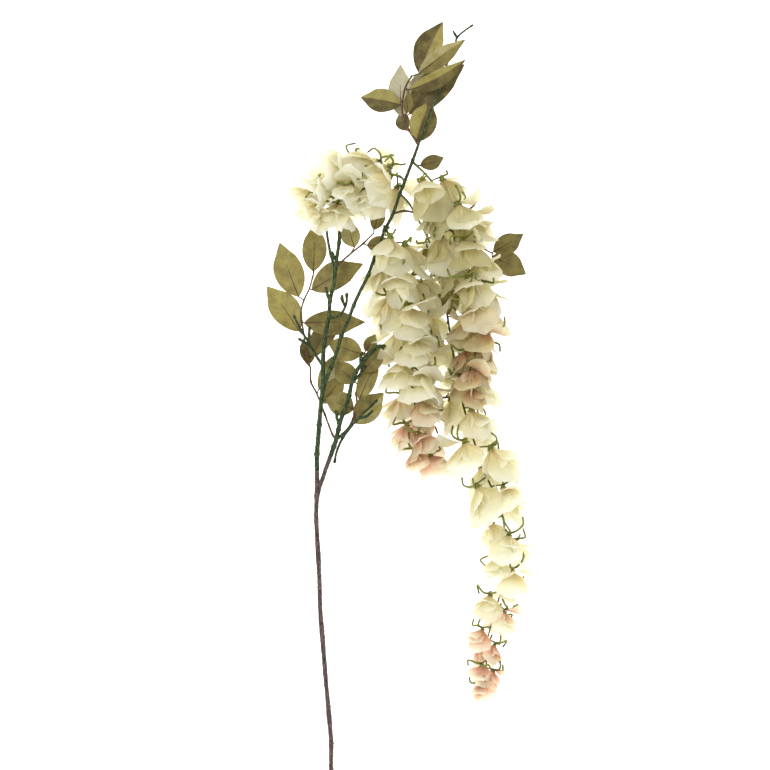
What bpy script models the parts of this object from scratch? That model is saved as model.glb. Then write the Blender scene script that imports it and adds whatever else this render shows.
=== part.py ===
"""A cut wisteria stem in flower, lying on a table: +Y runs up the stem, +Z up from the table.

A brown stem forks into two green flower branches. They carry pinnate leaf sprigs and four
racemes, the hanging bunches of pea flowers. Every length below is in millimetres.
"""

import math
import random

import bmesh
import bpy
from mathutils import Quaternion, Vector
from mathutils.bvhtree import BVHTree

MM = 0.001

# Thicknesses, and the gap that each piece keeps to the stem it sits on
PETAL_THICKNESS = 0.8
LEAF_THICKNESS = 0.8
SEAT_GAP = 0.3

# Radii of the stems at their first and last points, and their sides
MAIN_RADIUS = 3.6
MAIN_SIDES = 7
KNOT_HEIGHT = 0.35
KNOT_WAVES = (0.7, 1.9)
ARM_RADII = (2.6, 2.9)
LEFT_RADII = (3.4, 2.2)
WAND_RADII = (2.6, 2.1)
RIGHT_RADII = (3.2, 2.5)
BRANCH_SIDES = 6
PEG_RADIUS = 2.1
PEG_TAPER = 0.75
PEG_BUD = (1.15, 0.8)
PEG_SIDES = 4
RACHIS_RADII = (1.6, 0.9)
RACHIS_SIDES = 4
SPRIG_RADII = (1.5, 1.0)
SPRIG_SIDES = 3

# A leaf blade: half widths as shares of its half width, at shares of its length, and the rise of
# its arch and of its two halves as shares of its length and half width
LEAF_OUTLINE = [(0, 0), (0.2, 0.72), (0.46, 1.0), (0.76, 0.7)]
LEAF_ARCH = 0.07
LEAF_FOLD = 0.2
LEAF_STALK_WIDTH = 1.8
STEEPEST_PRESSED = 0.5
SHORTEST_STALK = 3.0
STALK_ROOT = 2.0

# The petals of a full-sized flower: azimuth round the flower's axis, width, length, the slant to the
# axis at the calyx and at the end, and how far the slants may differ, angles in degrees. The first
# is the banner, which may hang or stand up.
PETALS = [
    (0, 38, 34, 80, 88, 36), (50, 42, 46, 52, 4, 9), (132, 34, 29, 44, 2, 9), (-132, 34, 29, 44, 2, 9),
    (-50, 42, 46, 52, 4, 9),
]
AZIMUTH_JITTER = 9.0
PETAL_JITTER = 0.1
END_JITTER = 0.6
PETAL_STEPS = 4
WIDEST = 0.6
ROUNDNESS = 0.43
BLUNTNESS = 3
NECK = 0.13
CUP = 0.55

# The points of a petal's rim that the solid has, as shares of its length and half width, and the
# notches between its neighbours
PETAL_RIM = [(0.93, -0.55), (0.93, 0.55)]
NOTCH = (0.5, 0.8)
THROAT_DEPTH = 2.2
STALK_LENGTH = 15.5
STALK_RADIUS = 1.0
STALK_DROOP = 0.3
STALK_AZIMUTHS = (-120, 0, 120)
CALYX_RADIUS = 2.3

# How the back of the petals closes on the three points of the calyx ring: the point that each stretch
# from notch to notch meets, and the notch that each side of the ring meets
STRETCH_ENDS = (1, 1, 2, 0, 1)
SIDE_NOTCHES = (4, 2, 3)

# How the flowers follow each other round a rachis, and how much they differ
FLOWER_TURN = math.radians(122)
LAST_FLOWER = 0.985
TIP_CROWDING = 1.15
PLACE_JITTER = 0.4
TURN_JITTER = 0.4
SIZE_JITTER = 0.07
TWIST_JITTER = math.radians(40)
LEAN_JITTER = 0.3
SWAY_JITTER = 0.3
LOWEST_FACING = -0.45

# How a flower makes room for itself: it turns by these degrees, and then shrinks and turns again
ROOM_TURNS = (0, 12, 24, 36, 50, 65, 80, 100, 125, 150)
ROOM_SIZES = (1, 0.91, 0.82, 0.74)
MOST_CROSSINGS = 50

SHARP_EDGE = math.radians(35)

# Colours, roughness
BARK = ("bark", (0.115, 0.062, 0.055), 0.75)
GREEN_STALK = ("green_stalk", (0.075, 0.115, 0.05), 0.6)
LEAF_OLIVE = ("leaf_olive", (0.25, 0.22, 0.06), 0.6)
PETAL_CREAM = ("petal_cream", (0.86, 0.82, 0.62), 0.7)

# Centre lines, from the fork outwards, as x, y and height over the table
MAIN_STEM = [
    (-93, -500, 3.7), (-94, -474, 5), (-94, -442, 7), (-97, -403, 10), (-101, -357, 14),
    (-104, -318, 18), (-108, -266, 23), (-109, -227, 27), (-111, -188, 31), (-113, -149, 34),
    (-112.5, -123, 36.5), (-112, -104, 38), (-112, -84, 39.5),
]
FORK_ARM = [(-112, -124, 36), (-109, -109, 38), (-105, -97, 40), (-100, -82, 43), (-94, -66, 46)]

LEFT_BRANCH = [
    (-112, -84, 39.5), (-112, -64, 41), (-110.5, -45, 43), (-109, -26, 44), (-107, 0, 46),
    (-104.5, 20, 48), (-104, 36, 49), (-104, 56, 50), (-103, 72, 51), (-100, 96, 52),
    (-96, 116, 53), (-95, 135, 54), (-90, 156, 55), (-88, 176, 56), (-86, 191, 57),
    (-83, 211, 58), (-82.5, 224, 58),
]
WAND = [
    (-105, 17, 47.5), (-94, 49, 54), (-86, 69, 58), (-80, 90, 61), (-71.5, 109, 64),
    (-64, 129, 66), (-55, 149, 67), (-45, 169, 67), (-34, 201, 66), (-22, 230, 65),
    (-13, 248, 65), (-4, 274, 66), (4.5, 296, 68), (12.5, 317, 70), (19, 335, 70),
]
LEFT_TWIGS = [
    [(-88, 176, 56), (-94, 196, 57), (-97.5, 214, 57), (-100, 233, 56)],
    [(-95, 134, 54), (-98, 143, 55), (-100, 152, 56)],
    [(-96, 113, 53), (-82, 117, 53), (-74, 131, 52), (-73, 144, 50)],
    [(-75, 128, 52.5), (-79, 137, 54), (-79, 142, 54)],
    [(-104, 50, 50), (-116, 69, 49), (-123.5, 83, 48), (-133, 98, 47), (-142, 116, 45)],
    [(-123, 82, 48), (-122, 92, 50), (-121.5, 101, 51)],
    [(-119, 75, 48.5), (-127, 80, 50), (-135, 86, 51)],
    [(-87, 188, 56.5), (-91, 194, 59), (-92, 198, 60)],
]

RIGHT_BRANCH = [
    (-94, -66, 46), (-90, -54, 49), (-87, -45, 50), (-84, -32, 51), (-81, -20, 52),
    (-77, -9, 53), (-72, 4, 53), (-70, 12, 54), (-66, 30, 54), (-61, 43, 55), (-52, 56, 56),
    (-43, 67, 57), (-33, 76, 57), (-25, 76, 56),
]
RIGHT_TWIGS = [
    [(-87, -45, 50), (-78, -38, 52), (-70, -29, 53), (-61, -21, 54), (-52, -11, 54),
     (-40, 0, 53), (-34, 6, 52)],
    [(-57, -17, 54), (-48, -15, 57), (-40, -8, 58)],
    [(-83, -28, 51), (-86, -16, 52), (-87, -8, 53)],
    [(-65, 32, 54), (-58, 37, 53), (-49, 51, 50)],
    [(-55, 52, 56), (-55, 60, 58), (-53, 68, 59)],
    [(-66, -26, 53), (-78, -42, 48), (-86, -60, 44), (-89, -74, 39)],
]

# Leaf sprigs: the twig, then each leaf as base, tip, width and roll in degrees
LEFT_SPRIG_TWIG = [
    (-87, -46, 50), (-92, -38, 45), (-96, -28, 40), (-102, -12, 34), (-112, 14, 31),
    (-120, 30, 30), (-121, 49, 29), (-127, 67, 28), (-129, 90, 28), (-132, 109, 28),
    (-133, 122, 28), (-129, 137, 29), (-122, 152, 30), (-118, 166, 31), (-116, 174, 31),
]
LEFT_SPRIG_LEAVES = [
    ((-136, 141, 28), (-161, 212, 20), 39, -8),
    ((-117, 174, 31), (-115, 238, 34), 32, 6),
    ((-119, 150, 30), (-52, 184, 33), 37, -12),
    ((-129, 107, 29), (-49, 108, 34), 34, 18),
    ((-135, 96, 27), (-178, 155, 9), 39, 10),
    ((-119, 62, 26), (-80, 118, 17), 30, -20),
    ((-124, 52, 26), (-131, 86, 17), 24, 38),
    ((-110, 20, 28), (-72, 72, 23), 26, -24),
    ((-106, 2, 31), (-76, 40, 34), 26, 16),
]
RIGHT_SPRIG_TWIG = [
    (-70, -29, 53), (-65, -18, 47), (-60, 1, 43), (-61, 15, 41), (-58, 27, 41),
    (-55, 43, 43), (-52, 58, 45), (-50, 68, 46),
]
RIGHT_SPRIG_LEAVES = [
    ((-64, -6, 43), (-102, 8, 42), 32, 10),
    ((-62, 29, 42), (-88, 58, 43), 28, -6),
    ((-53, 66, 45), (-98, 82, 40), 32, -6),
    ((-52, 43, 46), (-24, 78, 54), 26, 10),
    ((-57, 6, 42), (-31, 60, 36), 24, -14),
    ((-63, -24, 42), (-25, 16, 37), 34, 0),
    ((-49, 70, 46), (-36, 92, 47), 18, 10),
]
UPPER_SPRIG_TWIG = [(-88, 178, 56), (-80, 186, 53), (-68, 197, 48), (-52, 210, 43), (-38, 224, 39)]
UPPER_SPRIG_LEAVES = [
    ((-63, 205, 46), (-71, 240, 42), 26, -12),
    ((-38, 228, 39), (-28, 262, 34), 20, 10),
    ((-47, 208, 41), (-12, 208, 34), 24, -8),
]
BACK_SPRIG_TWIG = [
    (-13, 248, 65), (0, 252, 51), (15, 250, 43), (40, 238, 35), (70, 223, 28), (95, 209, 24),
    (117, 198, 22),
]
BACK_SPRIG_SIDE_TWIG = [(40, 238, 35), (56, 200, 25), (70, 162, 19), (76, 142, 17)]
BACK_SPRIG_LEAVES = [
    ((20, 251, 40), (64, 252, 28), 26, 4),
    ((88, 215, 25), (112, 240, 26), 26, -14),
    ((118, 200, 23), (157, 223, 27), 27, 6),
    ((116, 194, 21), (161, 171, 12), 32, -6),
    ((73, 141, 17), (42, 128, 13), 36, 8),
    ((76, 148, 16), (100, 178, 8), 26, -4),
    ((53, 205, 24), (24, 184, 16), 28, 12),
]
TOP_SPRIG_TWIG = [
    (19, 335, 70), (30, 364, 70), (36, 381, 69), (44, 400, 67), (52, 429, 64), (61, 452, 62),
    (68, 469, 60), (70, 477, 59), (80, 486, 58), (90, 493, 57),
]
TOP_SPRIG_SIDE_TWIG = [
    (19.5, 337, 70), (8, 356, 66), (0, 372, 62), (-1, 392, 58), (3, 412, 56), (11, 427, 55),
]
TOP_SPRIG_LEAVES = [
    ((21, 431, 50), (52, 499, 40), 36, -14),
    ((20, 430, 60), (81, 474, 70), 24, 12),
    ((9, 409, 64), (81, 447, 80), 24, 24),
    ((8, 378, 52), (80, 443, 46), 42, -12),
    ((6, 408, 44), (51, 434, 34), 30, 6),
    ((-3, 390, 54), (-55, 401, 36), 32, 12),
    ((-1, 374, 46), (-3, 444, 33), 32, -4),
    ((5, 378, 66), (7, 408, 75), 13, 20),
    ((17, 341, 66), (36, 395, 54), 36, 8),
    ((6, 356, 62), (-4, 380, 40), 20, -16),
]
WAND_LEAF_TWIG = [(12.5, 317, 70), (16, 312, 64), (22, 311, 58)]
WAND_LEAF_LEAVES = [((22, 311, 58), (53, 322, 48), 20, 10)]

# Racemes: the rachis route, where the flowers start as a share of it, how many, their size at the
# start, middle and tip, and how far they lean out from the rachis and droop down the stem
UPPER_RACEME = dict(
    route=[(2, 290, 68), (-6, 298, 54), (-30, 299, 46), (-62, 291, 43), (-90, 277, 42),
           (-108, 258, 38)],
    first=0.08, flowers=17, sizes=(1.1, 1.2, 1.15), seed=4, splay=0.5, droop=1.3,
)
MIDDLE_RACEME = dict(
    route=[(-22, 230, 65), (-13, 202, 64), (-4, 169, 60), (5, 123, 54), (10, 78, 50),
           (13, 32, 48), (17, -13, 46), (24, -46, 41), (29, -68, 36), (31, -76, 34)],
    first=0.01, flowers=23, sizes=(1.2, 1.25, 0.75), seed=12, splay=0.0, droop=0.5,
)
RIGHT_RACEME = dict(
    route=[(12, 315, 70), (29, 299, 74), (45, 279, 74), (57, 257, 72), (62, 238, 70),
           (68, 208, 67), (75, 188, 65), (90, 169, 64), (97, 136, 64), (99, 97, 66),
           (92, 62, 68), (84, 38, 68), (81, 24, 66)],
    first=0.05, flowers=21, sizes=(1.2, 1.15, 0.75), seed=2, splay=0.0, droop=0.5,
)
LONG_RACEME = dict(
    route=[(-4, 274, 66), (8, 262, 46), (22, 238, 24), (35, 212, 14), (48, 169, 11),
           (57, 123, 13), (64, 78, 19), (71, 32, 30), (82, -13, 38), (94, -52, 42),
           (108, -91, 42), (121, -120, 40), (130, -147, 38), (134, -182, 34), (133, -221, 28),
           (126, -250, 24), (119, -276, 20), (111, -305, 16), (109, -335, 12), (110, -369, 8)],
    first=0.1, flowers=35, sizes=(1.15, 1.2, 0.64), seed=8, splay=0.0, droop=0.5,
)


def new_material(name, look):
    finish, colour, roughness = look
    made = bpy.data.materials.new(f"{name}_{finish}")
    made.use_nodes = True
    shader = made.node_tree.nodes["Principled BSDF"]
    shader.inputs["Base Color"].default_value = (*colour, 1)
    shader.inputs["Roughness"].default_value = roughness
    shader.inputs["Metallic"].default_value = 0
    made.diffuse_color = (*colour, 1)
    return made


def smooth_route(points, spans):
    """A Catmull-Rom curve through the points, with this many steps between each two."""
    knots = [Vector(p) for p in points]
    knots = [2 * knots[0] - knots[1], *knots, 2 * knots[-1] - knots[-2]]
    route = []
    for a, b, c, d in zip(knots, knots[1:], knots[2:], knots[3:]):
        for step in range(spans):
            t = step / spans
            route.append(
                0.5 * (2 * b + (c - a) * t + (2 * a - 5 * b + 4 * c - d) * t * t
                       + (3 * b - a - 3 * c + d) * t ** 3)
            )
    return [*route, knots[-2]]


def tangents_of(route):
    ahead = [*route[1:], 2 * route[-1] - route[-2]]
    behind = [2 * route[0] - route[1], *route[:-1]]
    return [(a - b).normalized() for a, b in zip(ahead, behind)]


def tube(route, radii, sides, extra=0.0):
    """A closed tube along the route, one radius for each point, larger by extra all round."""
    tangents = tangents_of(route)
    route = [route[0] - extra * tangents[0], *route[1:-1], route[-1] + extra * tangents[-1]]
    across = tangents[0].orthogonal().normalized()
    points, faces = [], []
    for i, (centre, tangent, radius) in enumerate(zip(route, tangents, radii)):
        if i:
            across = tangents[i - 1].rotation_difference(tangent) @ across
        for side in range(sides):
            spoke = Quaternion(tangent, math.tau * side / sides) @ across
            points.append(centre + (radius + extra) * spoke)
    for ring in range(len(route) - 1):
        for side in range(sides):
            here, there = ring * sides + side, ring * sides + (side + 1) % sides
            faces += [(here, there, there + sides), (here, there + sides, here + sides)]
    last = (len(route) - 1) * sides
    for side in range(1, sides - 1):
        faces.append((0, side + 1, side))
        faces.append((last, last + side, last + side + 1))
    return points, faces


def tapered(route, first, last):
    """Radii that fall evenly from the first to the last along the route."""
    end = len(route) - 1
    return [first + (last - first) * i / end for i in range(end + 1)]


def sheet_normals(points, faces, half):
    """Vertex normals of a thin sheet, upright where the sheet is pressed against the table."""
    normals = [Vector() for _ in points]
    for face in faces:
        a, b, c = (points[i] for i in face)
        for i in face:
            normals[i] += (b - a).cross(c - a)
    for i, normal in enumerate(normals):
        normal.normalize()
        if points[i].z <= half and abs(normal.z) > STEEPEST_PRESSED:
            normals[i] = Vector((0, 0, math.copysign(1, normal.z)))
    return normals


def blade(rows, thicknesses):
    """A thin closed blade over rows of points: one point in the end rows, three in the others."""
    starts = [sum(len(row) for row in rows[:i]) for i in range(len(rows))]
    halves = [thick / 2 for row, thick in zip(rows, thicknesses) for _ in row]
    points = [Vector((p.x, p.y, max(p.z, LEAF_THICKNESS / 2))) for row in rows for p in row]
    faces = []
    for i, (row, after) in enumerate(zip(rows, rows[1:])):
        a, b = starts[i], starts[i + 1]
        if len(row) == 1:
            faces += [(a, b + 1, b), (a, b + 2, b + 1)]
        elif len(after) == 1:
            faces += [(a, a + 1, b), (a + 1, a + 2, b)]
        else:
            faces += [(a, a + 1, b), (a + 1, b + 1, b), (a + 1, a + 2, b + 2), (a + 1, b + 2, b + 1)]
    normals = sheet_normals(points, faces, LEAF_THICKNESS / 2)
    count = len(points)
    upper = [p + half * n for p, n, half in zip(points, normals, halves)]
    lower = [p - half * n for p, n, half in zip(points, normals, halves)]
    left = starts
    right = [start + 2 for start, row in zip(starts, rows) if len(row) > 1]
    rim = left + right[::-1]
    solid = faces + [(c + count, b + count, a + count) for a, b, c in faces]
    for a, b in zip(rim, [*rim[1:], rim[0]]):
        solid += [(a, b, b + count), (a, b + count, a + count)]
    return upper + lower, solid


def signed_volume(points, faces):
    return sum(points[a].dot(points[b].cross(points[c])) for a, b, c in faces) / 6


def facing_out(points, faces):
    if signed_volume(points, faces) < 0:
        faces = [(c, b, a) for a, b, c in faces]
    return points, faces


def petal_point(calyx, axis, up, petal, share, across):
    """A point of a petal, at a share of its length and from -1 to 1 across it."""
    azimuth, width, length, first, last = petal
    along = reach = 0.0
    for step in range(PETAL_STEPS):
        slant = math.radians(first + (last - first) * share * (step + 0.5) / PETAL_STEPS)
        along += share * length / PETAL_STEPS * math.cos(slant)
        reach += share * length / PETAL_STEPS * math.sin(slant)
    radial = Quaternion(axis, math.radians(azimuth)) @ up
    normal = math.cos(slant) * radial - math.sin(slant) * axis
    outline = max(NECK, 1 - (abs(share - WIDEST) / ROUNDNESS) ** BLUNTNESS) ** 0.5
    half = 0.5 * width * outline
    bend = CUP * across * outline
    sideways = half * math.sin(bend) / (CUP * outline)
    inward = half * (1 - math.cos(bend)) / (CUP * outline)
    return calyx + along * axis + reach * radial + sideways * axis.cross(radial) - inward * normal


def petals_of(size, draw):
    """The petals of one flower, each a little different from the pattern."""
    petals = []
    for azimuth, width, length, first, last, swing in PETALS:
        turn, grow, lift, curl = (draw.uniform(-1, 1) for _ in range(4))
        scale = size * (1 + PETAL_JITTER * grow)
        azimuth += AZIMUTH_JITTER * turn
        first += swing * lift
        last += swing * (lift + END_JITTER * curl)
        petals.append((azimuth, scale * width, scale * length, first, last))
    return petals


def stalk_ring(centre, along, axis, up, radius):
    """Three points round the stalk, at fixed azimuths round the flower's axis."""
    ring = []
    for azimuth in STALK_AZIMUTHS:
        radial = Quaternion(axis, math.radians(azimuth)) @ up
        spoke = (radial - radial.dot(along) * along).normalized()
        ring.append(centre + radius * spoke)
    return ring


def flower(root, outward, hang, splay, size, draw, extra=0.0):
    """One pea flower as a closed piece: a stalk that swells to the calyx, then its round petals."""
    lean, sway, twist = (draw.uniform(-1, 1) for _ in range(3))
    side = hang.cross(outward).normalized()
    axis = (hang + (splay + LEAN_JITTER * lean) * outward + SWAY_JITTER * sway * side).normalized()
    stalk = (outward + STALK_DROOP * hang).normalized()
    calyx = root + STALK_LENGTH * size * stalk
    calyx.z = max(calyx.z, CALYX_RADIUS * size)
    up = (outward - outward.dot(axis) * axis).normalized()
    up = Quaternion(axis, TWIST_JITTER * twist) @ up
    petals = petals_of(size, draw)
    half = PETAL_THICKNESS / 2 + extra
    sheet = [calyx + THROAT_DEPTH * size * axis]
    share, across = NOTCH
    for petal, after in zip(petals, [*petals[1:], petals[0]]):
        left = petal_point(calyx, axis, up, petal, share, across)
        sheet.append(left.lerp(petal_point(calyx, axis, up, after, share, -across), 0.5))
    sheet += [petal_point(calyx, axis, up, petal, *place) for petal in petals for place in PETAL_RIM]
    for point in sheet:
        point.z = max(point.z, half)
    count = len(petals)
    notches = [1 + (k - 1) % count for k in range(count + 1)]
    fan, lobes, rim = [], [], []
    for k, (before, after) in enumerate(zip(notches, notches[1:])):
        left = 1 + count + 2 * k
        right = left + 1
        fan.append((0, before, after))
        lobes += [(before, left, right), (before, right, after)]
        rim += [before, left, right]
    normals = sheet_normals(sheet, fan + lobes, half)
    inside = [p + half * n for p, n in zip(sheet, normals)]
    outside = [p - half * n for p, n in zip(sheet[1:], normals[1:])]
    throat = (stalk + axis).normalized()
    neck = stalk_ring(root, stalk, axis, up, STALK_RADIUS + extra)
    swell = stalk_ring(calyx, throat, axis, up, CALYX_RADIUS * size + extra)
    points = inside + outside + neck + swell
    far = len(inside) - 1
    base = len(inside) + len(outside)
    ring = (base + 3, base + 4, base + 5)
    faces = fan + lobes
    faces += [(far + k, far + j, far + i) for i, j, k in lobes]
    for i, j in zip(rim, [*rim[1:], rim[0]]):
        faces += [(i, far + i, far + j), (i, far + j, j)]
    for end, before, after in zip(STRETCH_ENDS, notches, notches[1:]):
        faces.append((ring[end], far + after, far + before))
    for k, notch in enumerate(SIDE_NOTCHES):
        faces.append((ring[k], ring[(k + 1) % 3], far + notches[notch]))
    for k in range(3):
        i, j = base + k, base + (k + 1) % 3
        faces += [(i, j, j + 3), (i, j + 3, i + 3)]
    faces.append((base, base + 2, base + 1))
    return facing_out(points, faces)


def flower_places(route, first, flowers, sizes, seed):
    """Where each flower sits on a rachis: its root, the tangent there, its size, turn and seed."""
    draw = random.Random(seed)
    tangents = tangents_of(route)
    reached = [0.0]
    for a, b in zip(route, route[1:]):
        reached.append(reached[-1] + (b - a).length)
    places = []
    for n in range(flowers):
        step = (n + PLACE_JITTER * draw.random()) / (flowers - 1 + PLACE_JITTER)
        share = first + (LAST_FLOWER - first) * (1 - (1 - step) ** TIP_CROWDING)
        length = share * reached[-1]
        i = max(j for j, reach in enumerate(reached[:-1]) if reach <= length)
        t = (length - reached[i]) / (reached[i + 1] - reached[i])
        root = route[i].lerp(route[i + 1], t)
        tangent = tangents[i].lerp(tangents[i + 1], t).normalized()
        half = 2 * (share - first) / (1 - first)
        k = min(int(half), 1)
        size = sizes[k] + (sizes[k + 1] - sizes[k]) * (half - k)
        size *= 1 + SIZE_JITTER * draw.uniform(-1, 1)
        turn = math.pi / 2 + n * FLOWER_TURN + TURN_JITTER * draw.uniform(-1, 1)
        places.append((root, tangent, size, turn, draw.randrange(10 ** 6)))
    return places


def facing(tangent, turn):
    """The way a flower faces, across the rachis. None faces straight down into the table."""
    level = tangent.cross(Vector((0, 0, 1))).normalized()
    up = level.cross(tangent).normalized()
    way = math.cos(turn) * level + math.sin(turn) * up
    way.z = max(way.z, LOWEST_FACING)
    return (way - way.dot(tangent) * tangent).normalized()


def tree_of(pieces):
    points, faces = [], []
    for some_points, some_faces in pieces:
        start = len(points)
        points += some_points
        faces += [tuple(i + start for i in face) for face in some_faces]
    return BVHTree.FromPolygons(points, faces)


def rachis(facts, extra=0.0):
    route = smooth_route(facts["route"], 1)
    return tube(route, tapered(route, *RACHIS_RADII), RACHIS_SIDES, extra)


def raceme(facts, neighbours):
    """The pieces of one raceme. Each flower turns, and shrinks, until it is as clear as it can be."""
    route = smooth_route(facts["route"], 1)
    around = tree_of(neighbours)
    trials = [(s * turn, size) for size in ROOM_SIZES for turn in ROOM_TURNS for s in (1, -1)]
    flowers = []
    places = flower_places(route, facts["first"], facts["flowers"], facts["sizes"], facts["seed"])
    for root, tangent, size, turn, seed in places:
        hang = (tangent + facts["droop"] * Vector((0, -1, 0))).normalized()
        others = tree_of(flowers) if flowers else None
        best = None
        for trial, (nudge, shrink) in enumerate(trials):
            way = facing(tangent, turn + math.radians(nudge))
            shape = (root, way, hang, facts["splay"], size * shrink)
            wide = tree_of([flower(*shape, random.Random(seed + trial), SEAT_GAP)])
            if wide.overlap(around):
                continue
            crossings = len(wide.overlap(others)) if others else 0
            if best is None or crossings < best[0]:
                best = (crossings, shape, seed + trial)
            if not crossings:
                break
        if best and best[0] < MOST_CROSSINGS:
            flowers.append(flower(*best[1], random.Random(best[2])))
    return [rachis(facts), *flowers]


def leaf(base, tip, width, roll, joints):
    """A leaf: a short stalk from the nearest joint, then a pointed oval blade, arched and folded."""
    base, tip = Vector(base), Vector(tip)
    joint = min(joints, key=lambda p: (p - base).length)
    along = (tip - base).normalized()
    length = (tip - base).length
    side = along.cross(Vector((0, 0, 1))).normalized()
    side = Quaternion(along, math.radians(roll)) @ side
    normal = side.cross(along)
    if (base - joint).length < SHORTEST_STALK:
        joint = base - STALK_ROOT * along
    rows, thick = [[joint]], [LEAF_STALK_WIDTH]
    for share, half_width in LEAF_OUTLINE:
        middle = base + share * length * along
        middle += LEAF_ARCH * length * math.sin(math.pi * share) * normal
        half = max(0.5 * width * half_width, LEAF_STALK_WIDTH / 2)
        rise = LEAF_FOLD * (half - LEAF_STALK_WIDTH / 2) * normal
        rows.append([middle - half * side + rise, middle, middle + half * side + rise])
        thick.append(LEAF_THICKNESS if half_width else LEAF_STALK_WIDTH)
    rows.append([tip])
    thick.append(LEAF_THICKNESS)
    return facing_out(*blade(rows, thick))


def leaf_sprig(twigs, leaves):
    routes = [smooth_route(twig, 1) for twig in twigs]
    pieces = [tube(route, tapered(route, *SPRIG_RADII), SPRIG_SIDES) for route in routes]
    joints = [p for route in routes for p in route[:-1]]
    joints += [route[-1] + STALK_ROOT * (route[-2] - route[-1]).normalized() for route in routes]
    pieces += [leaf(*facts, joints) for facts in leaves]
    return pieces


def swollen_end(route, radius):
    """Radii of a twig that ends in a small bud."""
    radii = tapered(route, radius, PEG_TAPER * radius)
    radii[-2:] = [share * radius for share in PEG_BUD]
    return radii


def stem_tubes(extra=0.0):
    """The tubes of each stem node, wider by extra all round."""
    main = smooth_route(MAIN_STEM, 2)
    slow, fast = KNOT_WAVES
    waves = [math.sin(slow * i) * math.sin(fast * i) for i in range(len(main))]
    knotted = [MAIN_RADIUS + KNOT_HEIGHT * wave for wave in waves]
    arm = smooth_route(FORK_ARM, 1)
    left = smooth_route(LEFT_BRANCH, 1)
    wand = smooth_route(WAND, 1)
    right = smooth_route(RIGHT_BRANCH, 1)
    tubes = {
        "main_stem": [
            (main, knotted, MAIN_SIDES),
            (arm, tapered(arm, *ARM_RADII), BRANCH_SIDES),
        ],
        "green_branch_left": [
            (left, tapered(left, *LEFT_RADII), BRANCH_SIDES),
            (wand, tapered(wand, *WAND_RADII), BRANCH_SIDES),
        ],
        "green_branch_right": [(right, tapered(right, *RIGHT_RADII), BRANCH_SIDES)],
    }
    for name, twigs in (("green_branch_left", LEFT_TWIGS), ("green_branch_right", RIGHT_TWIGS)):
        for twig in twigs:
            route = smooth_route(twig, 1)
            tubes[name].append((route, swollen_end(route, PEG_RADIUS), PEG_SIDES))
    return {name: [tube(*facts, extra) for facts in some] for name, some in tubes.items()}


def mesh_object(name, points, faces, collection):
    mesh = bpy.data.meshes.new(name)
    mesh.from_pydata([MM * p for p in points], [], faces)
    made = bpy.data.objects.new(name, mesh)
    collection.objects.link(made)
    return made


def boolean(target, pieces, operation):
    """Joins the pieces to the target, or cuts them from it, and removes them."""
    collection = bpy.data.collections.new("pieces")
    bpy.context.scene.collection.children.link(collection)
    for number, (points, faces) in enumerate(pieces):
        mesh_object(f"piece_{number}", points, faces, collection)
    modifier = target.modifiers.new(operation, "BOOLEAN")
    modifier.operation = operation
    modifier.operand_type = "COLLECTION"
    modifier.collection = collection
    modifier.solver = "MANIFOLD"
    graph = bpy.context.evaluated_depsgraph_get()
    joined = bpy.data.meshes.new_from_object(target.evaluated_get(graph))
    target.modifiers.clear()
    target.data = joined
    for made in list(collection.objects):
        bpy.data.objects.remove(made)
    bpy.data.collections.remove(collection)


def keep_largest_body(target):
    """Drops loose scraps and fills hollows that the joining sealed."""
    bm = bmesh.new()
    bm.from_mesh(target.data)
    bmesh.ops.triangulate(bm, faces=bm.faces)
    bm.verts.ensure_lookup_table()
    unseen, bodies = set(bm.verts), []
    while unseen:
        body, edge = set(), [next(iter(unseen))]
        while edge:
            vert = edge.pop()
            if vert in body:
                continue
            body.add(vert)
            edge += [e.other_vert(vert) for e in vert.link_edges]
        unseen -= body
        bodies.append(body)
    largest = max(bodies, key=len)
    loose = [v for body in bodies if body is not largest for v in body]
    bmesh.ops.delete(bm, geom=loose, context="VERTS")
    bm.to_mesh(target.data)
    bm.free()


def node(name, pieces, look, cutters=()):
    """One named object: its pieces joined in one body, cut clear of the stems that it sits on."""
    points, faces = pieces[0]
    made = mesh_object(name, points, faces, bpy.context.scene.collection)
    if len(pieces) > 1:
        boolean(made, pieces[1:], "UNION")
    if cutters:
        boolean(made, cutters, "DIFFERENCE")
    keep_largest_body(made)
    made.data.materials.clear()
    made.data.materials.append(new_material(name, look))
    made.data.shade_smooth()
    made.data.set_sharp_from_angle(angle=SHARP_EDGE)


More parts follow.
